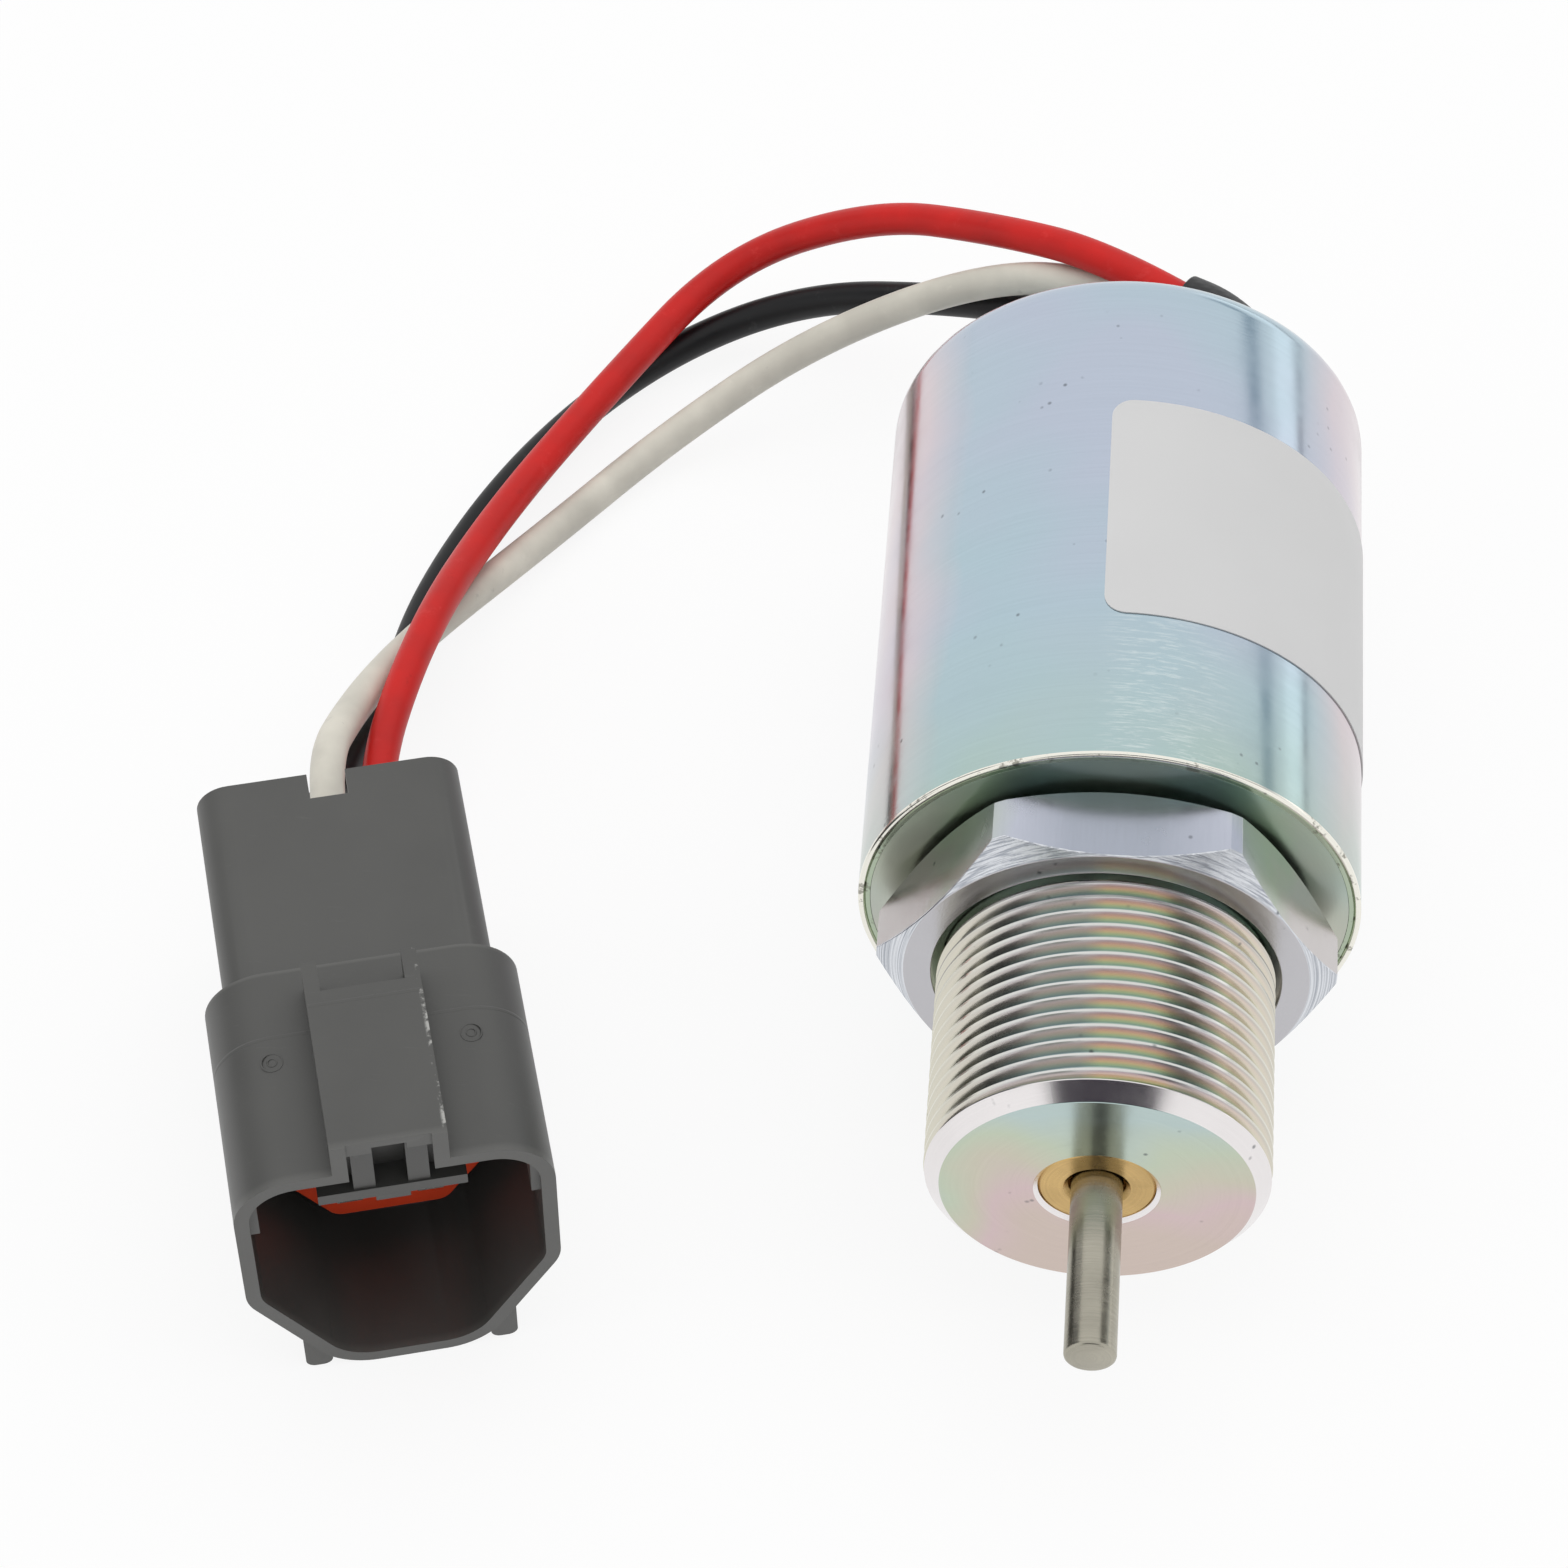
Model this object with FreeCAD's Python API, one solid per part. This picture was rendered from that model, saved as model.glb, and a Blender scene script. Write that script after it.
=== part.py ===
"""Fuel shutoff solenoid, lying on its side with its leads and connector beside it.

Millimetres, +Z up. The solenoid's axis is the Y axis, and its plunger points along -Y. The origin is on
that axis, in the flange face that the boss stands out of.
"""

import FreeCAD, Part
import math
import os

from FreeCAD import Rotation, Vector

# Fits
pressed_gap = 0.02      # radial, between pieces that are pressed together
stacked_gap = 0.05      # between pieces that are stacked or potted together
running_gap = 0.07      # radial, between a sliding or turning piece and its bore

# Can
can_radius = 22.5
can_wall = 1.0
can_corner = 3.3        # outer radius at the far end
rim_proud = 0.2         # how far the rolled rim stands in front of the flange face
rim_lip = 0.1           # how far the rim is rolled in over the flange
rim_round = 0.3

# Base: flange and threaded boss, M30 x 1.5
flange_length = 4.5
thread_radius = 15.0
thread_pitch = 1.5
boss_length = 30.2
boss_chamfer = 1.4
boss_front_wall = 6.7   # end wall that holds the bush
bush_mouth = 0.3        # chamfer round the bush

# Lock nut
nut_flats = 36.0
nut_length = 7.0
nut_back = 0.8          # gap between the flange face and the nut
nut_corner_radius = 20.45
nut_chamfer_radius = 17.9
nut_chamfer_deg = 30.0
nut_mouth = 0.73        # chamfer at each end of its thread

# Guide bush
bush_radius = 5.08
bush_recess = 0.35      # how far its face lies behind the boss's end face
bush_relief_radius = 2.5
bush_relief_length = 2.0
bush_countersink = 0.4

# Plunger
rod_radius = 2.25
rod_reach = 16.6        # how far the rod stands out of the boss at rest
rod_chamfer = 0.33
rod_grip = 26.0         # how far the rod goes into the armature
armature_radius = 7.53
armature_length = 40.0
armature_chamfer = 0.8
stroke = 10.0
air_gap_closed = 0.5    # left between armature and core when pulled in

# Stop washer
washer_thickness = 0.85
washer_bore_radius = 2.9

# Guide tube, fixed core and pole plate
tube_wall = 0.5
core_spigot_radius = 6.0
plate_thickness = 3.0
plate_hole_radius = 1.2
plate_hole_circle = 14.0
plate_holes = 3
plate_hole_step_deg = 16.0

# Return spring
spring_wire_radius = 0.4
spring_mean_radius = 3.9
spring_turns = 8.5
spring_pocket_radius = 4.6
armature_pocket = 12.0
core_pocket = 6.0

# Coil
bobbin_length = 43.4
bobbin_hub_wall = 1.2
coil_clearance = 1.3    # round the bobbin, inside the can
bobbin_flange = 1.5
pull_in_share = 0.5     # of the winding's depth
wrap_thickness = 0.55
wrap_below_flange = 0.45
potting_length = 5.9

# Leads through the can's far end
lead_inset = 11.5       # from the can's side to the leads' line
lead_z = 0.5
grommet_hole_radius = 4.8
grommet_flange_radius = 6.3
grommet_flange = 1.5
grommet_nose = 2.4
grommet_nose_radius = 5.2
sleeve_radius = 4.1
sleeve_wall = 0.35
sleeve_straight = 6.5   # from the can's face to the bend
sleeve_bend_radius = 9.0
sleeve_bend_deg = 64.0
sleeve_end = 1.5
sleeve_pocket = 1.2     # how deep the leads are seen to go into the sleeve
splice_radius = 1.5
splice_length = 9.0
splice_reach = 15.5     # from the leads' line to the splices' far ends
splice_step = 5.5

# Leads: points that each route turns at, between its two end runs
wire_radius = 1.65
wire_spread = 2.05      # from the sleeve's axis to each lead's
wire_run = 0.45         # share of the shorter run that an arc takes up
lead_tail = 13.0        # last run, square onto the seal
crossing_tail = 8.5     # the same, for the lead that crosses under another
red_route = [
    (-3.0, 77.5, 3.8), (-14.0, 84.0, 0.2), (-26.5, 91.0, -5.5), (-42.0, 92.0, -14.5),
    (-53.0, 76.5, -18.0), (-62.5, 57.5, -17.4), (-67.5, 36.0, -11.2),
]
black_route = [
    (-5.5, 75.5, -3.0), (-17.0, 81.5, -7.6), (-33.0, 87.5, -14.5), (-48.0, 84.5, -20.8),
    (-60.5, 69.0, -20.8), (-68.5, 50.5, -20.8), (-70.4, 34.5, -19.0), (-72.8, 20.5, -13.2),
]
white_route = [
    (-3.5, 77.9, 0.0), (-15.5, 79.3, -2.0), (-32.0, 78.5, -11.5), (-46.0, 72.5, -20.2),
    (-58.0, 57.5, -20.8), (-68.5, 40.0, -16.4), (-72.5, 28.0, -11.9),
]

# Label
label_thickness = 0.12
label_from_deg = -5.5
label_to_deg = 112.0
label_front = 15.7
label_back = 41.0
label_corner = 2.0

# Connector: lateral u, v back from its mouth, height above the floor
connector_x = -59.45
connector_y = -37.24
connector_turn_deg = 15.0
shroud_half_width = 13.8
shroud_height = 30.2
shroud_foot_half = 6.4
shroud_knee_height = 12.3
shroud_corner = 5.5
shroud_knee_round = 4.5
shroud_foot_round = 6.0
shroud_length = 21.9
shroud_wall = 1.3
cavity_depth = 16.0
block_half_width = 12.0
block_low = 4.8
block_high = 25.5
block_corner = 3.0
connector_length = 46.7
hood_depth = 6.0
hood_wall = 1.6
notch_width = 3.5
notch_depth = 2.8
poles = [(-3.6, 11.0), (0, 16.5), (3.6, 11.0)]     # (u, h) of each way
rail_half_width = 5.0
rail_width = 1.35
rail_height = 34.0
rail_length = 19.5
cover_thickness = 1.6
cover_front = 0.2
cover_length = 16.4
cover_relief_half = 1.5
cover_relief_depth = 0.8
cover_relief_length = 6.0
channel_length = 14.0
bridge_half_width = 6.45
bridge_low = 22.7
bridge_lip = 1.3
bridge_front = 2.2
bridge_plate_front = 4.0
bridge_back = 5.4
bridge_rib_front = 2.4
bridge_rib_width = 1.9
bridge_window_half = 1.4
bridge_web = 0.7        # left behind the window
bridge_tab_half = 1.5
bridge_tab = 0.9
bridge_tab_back = 3.6
key_rib_low = 22.0
key_rib = 4.4
key_rib_proud = 0.8
key_rib_from = 0.8
foot_centre = 8.3
foot_width = 2.4
foot_height = 4.5
foot_from = 0.4
foot_to = 6.0
foot_round = 0.9

# Front retainer, terminals and wire seals
retainer_half_width = 9.6
retainer_low = 5.6
retainer_high = 23.0
retainer_knee = 12.6
retainer_foot_half = 5.0
retainer_round = 1.5
retainer_thickness = 3.95
blade_width = 2.3
blade_thickness = 0.8
blade_slot_gap = 0.2
blade_reach = 2.2       # out of the retainer
terminal_body = 2.5
terminal_body_from = 18.0
seal_length = 8.0
seal_radius = 2.35
seal_groove = 0.4
seal_proud = 0.5
seal_ribs = 3

axis = Vector(0, 1, 0)
origin = Vector(0, 0, 0)
nodes = {}


def turned(profile):
    """A solid of revolution about the Y axis, from (radius, y) points."""
    points = [Vector(r, y, 0) for r, y in profile]
    face = Part.Face(Part.makePolygon(points + points[:1]))
    return face.revolve(origin, axis, 360)


def ring(outer, inner, start, end):
    """A plain ring or, with no inner radius, a disc between two places on the Y axis."""
    return turned([(inner, start), (outer, start), (outer, end), (inner, end)])


def circles(shape, radius, y):
    """The round edges of a turned shape with this radius at this place on its axis."""
    found = []
    for edge in shape.Edges:
        curve = edge.Curve
        if isinstance(curve, Part.Circle) and abs(curve.Radius - radius) < 1e-4:
            if abs(curve.Center.y - y) < 1e-4:
                found.append(edge)
    return found


def box(u, v, h):
    """A block between pairs of values in the connector's own frame."""
    corner = Vector(u[0], v[0], h[0])
    return Part.makeBox(u[1] - u[0], v[1] - v[0], h[1] - h[0], corner)


def rounded(points, radii):
    """A closed wire in the u-h plane, with each corner rounded by its own radius."""
    edges = []
    ends = []
    count = len(points)
    for i in range(count):
        before, corner, after = (Vector(points[(i + k) % count][0], 0, points[(i + k) % count][1])
                                 for k in (-1, 0, 1))
        to_before = (before - corner).normalize()
        to_after = (after - corner).normalize()
        half = to_before.getAngle(to_after) / 2
        setback = radii[i] / math.tan(half)
        start = corner + to_before * setback
        end = corner + to_after * setback
        centre = corner + (to_before + to_after).normalize() * (radii[i] / math.sin(half))
        middle = centre + (corner - centre).normalize() * radii[i]
        edges.append(Part.Arc(start, middle, end).toShape())
        ends.append((start, end))
    for i in range(count):
        edges.append(Part.LineSegment(ends[i][1], ends[(i + 1) % count][0]).toShape())
    return Part.Wire(Part.__sortEdges__(edges))


def mirrored(points, radii):
    """A rounded outline from the points on its right half, lowest first."""
    left = [(-u, h) for u, h in reversed(points)]
    return rounded(points + left, radii + list(reversed(radii)))


def prism(wire, start, end):
    """An outline in the u-h plane drawn out along v."""
    face = Part.Face(wire)
    face.translate(Vector(0, start, 0))
    return face.extrude(Vector(0, end - start, 0))


def placed(shape):
    """From the connector's own frame to where it lies."""
    at = FreeCAD.Placement(connector_at, Rotation(Vector(0, 0, 1), connector_turn_deg))
    shape = shape.copy()
    shape.Placement = at.multiply(shape.Placement)
    return shape


def make_can():
    far = can_length - can_wall
    lip = can_inner - rim_lip
    can = turned([
        (lip, -rim_proud), (can_radius, -rim_proud), (can_radius, can_length), (0, can_length),
        (0, far), (can_inner, far), (can_inner, rim_lip), (lip, 0),
    ])
    can = can.makeFillet(can_corner, circles(can, can_radius, can_length))
    can = can.makeFillet(can_corner - can_wall, circles(can, can_inner, far))
    can = can.makeFillet(rim_round, circles(can, can_radius, -rim_proud))
    start = Vector(lead_x, far - can_wall, lead_z)
    nodes["housing_can"] = can.cut(Part.makeCylinder(grommet_hole_radius, 3 * can_wall, start, axis))


def make_base():
    """Where the nut sits the two threads mesh, so boss and nut are drawn there at the pitch radius."""
    outer = can_inner - stacked_gap
    tube_seat = tube_radius + pressed_gap
    mouth = bush_radius + pressed_gap
    free_thread = -(nut_back + nut_length + running_gap)
    nodes["threaded_base"] = turned([
        (mouth + bush_mouth, -boss_length), (thread_radius - boss_chamfer, -boss_length),
        (thread_radius, -boss_length + boss_chamfer), (thread_radius, free_thread),
        (pitch_radius, free_thread), (pitch_radius, 0),
        (outer - rim_lip, 0), (outer, rim_lip), (outer, flange_length), (tube_seat, flange_length),
        (tube_seat, bore_floor), (mouth, bore_floor), (mouth, -boss_length + bush_mouth),
    ])


def make_nut():
    corner = nut_flats / 2 / math.cos(math.radians(30))
    front = -(nut_back + nut_length)
    turns = [math.radians(60 * i) for i in range(6)]
    corners = [Vector(corner * math.cos(turn), front, corner * math.sin(turn)) for turn in turns]
    hexagon = Part.Face(Part.makePolygon(corners + corners[:1])).extrude(Vector(0, nut_length, 0))
    fall = (nut_corner_radius - nut_chamfer_radius) * math.tan(math.radians(nut_chamfer_deg))
    bore = pitch_radius + running_gap
    turned_form = turned([
        (bore + nut_mouth, front), (nut_chamfer_radius, front), (nut_corner_radius, front + fall),
        (nut_corner_radius, -nut_back - fall), (nut_chamfer_radius, -nut_back),
        (bore + nut_mouth, -nut_back), (bore, -nut_back - nut_mouth), (bore, front + nut_mouth),
    ])
    nodes["lock_nut"] = hexagon.common(turned_form)


def make_bush():
    face = -boss_length + bush_recess
    bore = rod_radius + running_gap
    nodes["guide_bush"] = turned([
        (bush_relief_radius + bush_countersink, face), (bush_radius, face), (bush_radius, bore_floor),
        (bore, bore_floor), (bore, face + bush_relief_length),
        (bush_relief_radius, face + bush_relief_length), (bush_relief_radius, face + bush_countersink),
    ])


def make_plunger():
    """The rod is pressed into the armature, which rests on the stop washer."""
    tip = -boss_length - rod_reach
    nodes["plunger_rod"] = turned([
        (0, tip), (rod_radius - rod_chamfer, tip), (rod_radius, tip + rod_chamfer),
        (rod_radius, armature_front + rod_grip), (0, armature_front + rod_grip),
    ])
    rod_hole = rod_radius + pressed_gap
    back = armature_front + armature_length
    pocket_floor = back - armature_pocket
    outer = armature_radius - armature_chamfer
    nodes["armature"] = turned([
        (rod_hole, armature_front), (outer, armature_front),
        (armature_radius, armature_front + armature_chamfer), (armature_radius, back - armature_chamfer),
        (outer, back), (spring_pocket_radius, back), (spring_pocket_radius, pocket_floor),
        (rod_hole, pocket_floor),
    ])
    washer_radius = tube_bore - stacked_gap
    washer_back = bore_floor + washer_thickness
    nodes["stop_washer"] = ring(washer_radius, washer_bore_radius, bore_floor, washer_back)


def make_magnet_frame():
    """Guide tube, fixed core and pole plate."""
    nodes["guide_tube"] = ring(tube_radius, tube_bore, bore_floor, plate_front - stacked_gap)
    core_radius = tube_bore - stacked_gap
    core_face = armature_front + armature_length + stroke + air_gap_closed
    plate_back = plate_front + plate_thickness
    nodes["fixed_core"] = turned([
        (spring_pocket_radius, core_face), (core_radius, core_face), (core_radius, plate_front),
        (core_spigot_radius, plate_front), (core_spigot_radius, plate_back), (0, plate_back),
        (0, core_face + core_pocket), (spring_pocket_radius, core_face + core_pocket),
    ])
    plate = ring(can_inner - stacked_gap, core_spigot_radius + pressed_gap, plate_front, plate_back)
    for i in range(plate_holes):
        turn = math.radians(180 + (i - (plate_holes - 1) / 2) * plate_hole_step_deg)
        at = Vector(plate_hole_circle * math.cos(turn), plate_front - 1, plate_hole_circle * math.sin(turn))
        plate = plate.cut(Part.makeCylinder(plate_hole_radius, plate_thickness + 2, at, axis))
    nodes["pole_plate"] = plate


def make_spring():
    """Ends ground flat, between the floors of the armature's pocket and the core's."""
    start = armature_front + armature_length - armature_pocket
    end = armature_front + armature_length + stroke + air_gap_closed + core_pocket
    pitch = (end - start) / (spring_turns - 1)
    helix = Part.makeHelix(pitch, pitch * spring_turns, spring_mean_radius)
    section = Part.Wire(Part.makeCircle(spring_wire_radius, Vector(spring_mean_radius, 0, 0), axis))
    coil = Part.Wire(helix).makePipeShell([section], True, True)
    coil.Placement = FreeCAD.Placement(Vector(0, start - pitch / 2, 0), Rotation(Vector(1, 0, 0), -90))
    nodes["return_spring"] = coil.common(ring(spring_pocket_radius, 0, start, end))


def make_coil():
    front = flange_length + stacked_gap
    back = front + bobbin_length
    hub_bore = tube_radius + stacked_gap
    hub = hub_bore + bobbin_hub_wall
    pull_in_radius = hub + (hold_in_radius - hub) * pull_in_share
    inside_front = front + bobbin_flange
    inside_back = back - bobbin_flange
    nodes["coil_bobbin"] = turned([
        (hub_bore, front), (bobbin_flange_radius, front), (bobbin_flange_radius, inside_front),
        (hub, inside_front), (hub, inside_back), (bobbin_flange_radius, inside_back),
        (bobbin_flange_radius, back), (hub_bore, back),
    ])
    layers = [("pull_in_winding", hub, pull_in_radius), ("hold_in_winding", pull_in_radius, hold_in_radius),
              ("winding_wrap", hold_in_radius, hold_in_radius + wrap_thickness)]
    for name, inner, outer in layers:
        nodes[name] = ring(outer, inner + stacked_gap, inside_front + stacked_gap, inside_back - stacked_gap)


def about_lead(profile):
    """A solid turned about the line on which the leads go through the can's far end."""
    shape = turned(profile)
    shape.translate(Vector(lead_x, 0, lead_z))
    return shape


def make_grommet():
    bore = sleeve_radius + stacked_gap
    inside = can_length - can_wall - stacked_gap
    neck = grommet_hole_radius - stacked_gap
    outside = can_length + stacked_gap
    nose_start = outside + grommet_flange
    nodes["lead_grommet"] = about_lead([
        (bore, inside - grommet_flange), (grommet_flange_radius, inside - grommet_flange),
        (grommet_flange_radius, inside), (neck, inside), (neck, outside), (grommet_flange_radius, outside),
        (grommet_flange_radius, nose_start - grommet_flange / 3),
        (grommet_flange_radius - grommet_flange / 3, nose_start), (grommet_nose_radius, nose_start),
        ((bore + grommet_nose_radius) / 2, nose_start + grommet_nose), (bore, nose_start + grommet_nose),
    ])


def make_sleeve():
    """A tube round the three leads: straight out of the can, then bent towards the connector."""
    back = can_length - can_wall - stacked_gap - grommet_flange
    bend_start = Vector(lead_x, can_length + sleeve_straight, lead_z)
    turn = math.radians(sleeve_bend_deg)
    centre = bend_start - Vector(sleeve_bend_radius, 0, 0)

    def on_bend(angle):
        return centre + Vector(math.cos(angle), math.sin(angle), 0) * sleeve_bend_radius

    path = Part.Wire([
        Part.LineSegment(Vector(lead_x, back, lead_z), bend_start).toShape(),
        Part.Arc(bend_start, on_bend(turn / 2), on_bend(turn)).toShape(),
        Part.LineSegment(on_bend(turn), on_bend(turn) + sleeve_way * sleeve_end).toShape(),
    ])
    circle = Part.Wire(Part.makeCircle(sleeve_radius, Vector(lead_x, back, lead_z), axis))
    sleeve = path.makePipeShell([circle], True, False)
    pocket = Part.makeCylinder(sleeve_radius - sleeve_wall, 2 * sleeve_pocket, lead_start, sleeve_way)
    nodes["lead_sleeve"] = sleeve.cut(pocket)


def make_potting():
    """Resin behind the pole plate, round the crimped joints and the grommet's inner flange."""
    back = potting_front + potting_length
    potting = ring(can_radius - can_corner, 0, potting_front, back)
    seat = grommet_flange_radius + stacked_gap
    potting = potting.cut(about_lead([
        (0, back - grommet_flange - 2 * stacked_gap), (seat, back - grommet_flange - 2 * stacked_gap),
        (seat, back + 1), (0, back + 1),
    ]))
    splices = []
    middle = potting_front + stacked_gap + splice_radius
    for i in range(3):
        start = Vector(lead_x - splice_reach, middle, lead_z + (i - 1) * splice_step)
        splices.append(Part.makeCylinder(splice_radius, splice_length, start, Vector(1, 0, 0)))
        room = Part.makeCylinder(splice_radius + pressed_gap, splice_length + 2 * pressed_gap,
                                 start - Vector(pressed_gap, 0, 0), Vector(1, 0, 0))
        potting = potting.cut(room)
    nodes["rear_potting"] = potting
    nodes["lead_splices"] = Part.makeCompound(splices)


def tube(points, radius, name):
    """A lead: straight runs joined by tangent arcs as large as the runs allow."""
    edges = []
    at = points[0]
    radii = []
    for i in range(1, len(points) - 1):
        back = points[i - 1] - points[i]
        ahead = points[i + 1] - points[i]
        setback = wire_run * min(back.Length, ahead.Length)
        half = back.getAngle(ahead) / 2
        bend = setback * math.tan(half)
        start = points[i] + back.normalize() * setback
        end = points[i] + ahead.normalize() * setback
        inward = (back + ahead).normalize()
        middle = points[i] + inward * (bend / math.sin(half) - bend)
        edges.append(Part.LineSegment(at, start).toShape())
        edges.append(Part.Arc(start, middle, end).toShape())
        at = end
        radii.append(round(bend, 1))
    edges.append(Part.LineSegment(at, points[-1]).toShape())
    path = Part.Wire(edges)
    circle = Part.Wire(Part.makeCircle(radius, points[0], points[1] - points[0]))
    solid = path.makePipeShell([circle], True, False)
    wanted = math.pi * radius ** 2 * path.Length
    ratio = round(solid.Volume / wanted, 4)
    print(name, "length", round(path.Length, 1), "radii", radii, "volume ratio", ratio)
    return solid


def make_leads():
    """Each lead starts in the sleeve's mouth and ends square on its seal."""
    across = Vector(-sleeve_way.y, sleeve_way.x, 0)
    up = Vector(0, 0, 1)
    third = math.radians(30)
    starts = {
        "wire_red": lead_start + up * wire_spread,
        "wire_black": lead_start + (across * math.cos(third) - up * math.sin(third)) * wire_spread,
        "wire_white": lead_start - (across * math.cos(third) + up * math.sin(third)) * wire_spread,
    }
    routes = {
        "wire_black": (black_route, crossing_tail),
        "wire_white": (white_route, lead_tail),
        "wire_red": (red_route, lead_tail),
    }
    for (name, (route, tail)), (u, h) in zip(routes.items(), poles):
        points = [starts[name]] + [Vector(*p) for p in route]
        points += [connector_point(u, seal_back + tail, h), connector_point(u, seal_back, h)]
        nodes[name] = tube(points, wire_radius, name)


def make_label():
    inner = can_radius + pressed_gap
    outer = inner + label_thickness
    span = label_to_deg - label_from_deg
    profile = [Vector(0, label_front, inner), Vector(0, label_front, outer),
               Vector(0, label_back, outer), Vector(0, label_back, inner)]
    label = Part.Face(Part.makePolygon(profile + profile[:1])).revolve(origin, axis, span)
    label.rotate(origin, axis, label_from_deg)
    reach = label_corner + 1
    turn = math.degrees(label_corner / outer)
    for angle, side in ((label_from_deg + turn, -1), (label_to_deg - turn, 1)):
        for y, end in ((label_front + label_corner, -1), (label_back - label_corner, 1)):
            start = Vector(min(0, side * reach), min(y, y + end * reach), inner - 1)
            outside = Part.makeBox(reach, reach, 2, start)
            kept = Part.makeCylinder(label_corner, 4, Vector(0, y, inner - 2))
            outside = outside.cut(kept)
            outside.rotate(origin, axis, angle)
            label = label.cut(outside)
    nodes["rating_label"] = label


def connector_point(u, v, h):
    return connector_at + Rotation(Vector(0, 0, 1), connector_turn_deg).multVec(Vector(u, v, h))


def shroud_outline():
    points = [(shroud_foot_half, 0), (shroud_half_width, shroud_knee_height),
              (shroud_half_width, shroud_height)]
    return mirrored(points, [shroud_foot_round, shroud_knee_round, shroud_corner])


def block_outline():
    points = [(block_half_width, block_low), (block_half_width, block_high)]
    return mirrored(points, [block_corner] * 2)


def lock_channel(shroud):
    """Two rails and a cover over a slot in the top wall, where the mating half's latch runs in."""
    top_inside = shroud_height - shroud_wall
    inner = rail_half_width - rail_width
    cover_low = rail_height - cover_thickness
    whole = box((-rail_half_width, rail_half_width), (0, rail_length), (top_inside, rail_height))
    behind = box((-inner, inner), (cover_length, rail_length + 1), (shroud_height, rail_height + 1))
    ahead = box((-inner, inner), (-1, cover_front), (top_inside - 1, rail_height + 1))
    slot = box((-inner, inner), (-1, channel_length), (top_inside - 1, cover_low))
    under = box((-inner, inner), (channel_length - 1, cover_length + 1), (shroud_height, cover_low))
    relief = box((-cover_relief_half, cover_relief_half), (-1, cover_relief_length),
                 (cover_low - 1, cover_low + cover_relief_depth))
    shroud = shroud.fuse(whole)
    for cut in (behind, ahead, slot, under, relief):
        shroud = shroud.cut(cut)
    return shroud


def latch_bridge():
    """The piece across the slot that the latch hooks on: a windowed plate with a lip, two ribs and a tab."""
    top_inside = shroud_height - shroud_wall
    cover_low = rail_height - cover_thickness
    lip_top = bridge_low + bridge_lip
    half = bridge_half_width
    bridge = box((-half, half), (bridge_front, bridge_back), (bridge_low, lip_top))
    bridge = bridge.fuse(box((-half, half), (bridge_plate_front, bridge_back), (lip_top, top_inside + 0.5)))
    bridge = bridge.cut(box((-bridge_window_half, bridge_window_half), (0, bridge_back - bridge_web),
                            (lip_top, rail_height)))
    for side in (-1, 1):
        edge = sorted((side * bridge_window_half, side * (bridge_window_half + bridge_rib_width)))
        bridge = bridge.fuse(box(edge, (bridge_rib_front, bridge_back), (lip_top, cover_low + 0.2)))
    tab = box((-bridge_tab_half, bridge_tab_half), (bridge_rib_front, bridge_tab_back),
              (bridge_low - bridge_tab, bridge_low))
    return bridge.fuse(tab)


def make_connector():
    shroud = prism(shroud_outline(), 0, shroud_length)
    shroud = lock_channel(shroud)
    inside = shroud_outline().makeOffset2D(-shroud_wall)
    shroud = shroud.cut(prism(inside, -1, cavity_depth))
    shroud = shroud.fuse(latch_bridge())
    for side in (-1, 1):
        wall = shroud_half_width - shroud_wall
        edge = sorted((side * (wall - key_rib_proud), side * (wall + 0.3)))
        shroud = shroud.fuse(box(edge, (key_rib_from, cavity_depth), (key_rib_low, key_rib_low + key_rib)))
        foot = box((side * foot_centre - foot_width / 2, side * foot_centre + foot_width / 2),
                   (foot_from, foot_to), (0, foot_height))
        bottom = [e for e in foot.Edges if abs(e.CenterOfMass.z) < 1e-6]
        sides = [e for e in bottom if abs(e.CenterOfMass.y - (foot_from + foot_to) / 2) < 1e-6]
        foot = foot.makeFillet(foot_round, sides)
        shroud = shroud.fuse(foot.cut(prism(inside, -1, cavity_depth)))
    block = prism(block_outline(), shroud_length - 1, connector_length)
    hood = block_outline().makeOffset2D(-hood_wall)
    block = block.cut(prism(hood, connector_length - hood_depth, connector_length + 1))
    notch = box((-notch_width / 2, notch_width / 2), (connector_length - notch_depth, connector_length + 1),
                (block_high - 2 * hood_wall, block_high + 1))
    housing = shroud.fuse(block.cut(notch))
    half = terminal_body / 2 + stacked_gap
    for u, h in poles:
        bore = Part.makeCylinder(seal_radius + stacked_gap, seal_length + 1, Vector(u, seal_front, h), axis)
        cavity = box((u - half, u + half), (cavity_depth - 1, seal_front + 1), (h - half, h + half))
        housing = housing.cut(bore).cut(cavity)
    nodes["connector_housing"] = placed(housing.removeSplitter())


def make_retainer():
    points = [(retainer_foot_half, retainer_low), (retainer_half_width, retainer_knee),
              (retainer_half_width, retainer_high)]
    outline = mirrored(points, [retainer_round] * 3)
    retainer = prism(outline, cavity_depth - retainer_thickness, cavity_depth)
    half_u = blade_width / 2 + blade_slot_gap
    half_h = blade_thickness / 2 + blade_slot_gap
    for u, h in poles:
        retainer = retainer.cut(box((u - half_u, u + half_u), (0, shroud_length), (h - half_h, h + half_h)))
    nodes["front_retainer"] = placed(retainer)


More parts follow.
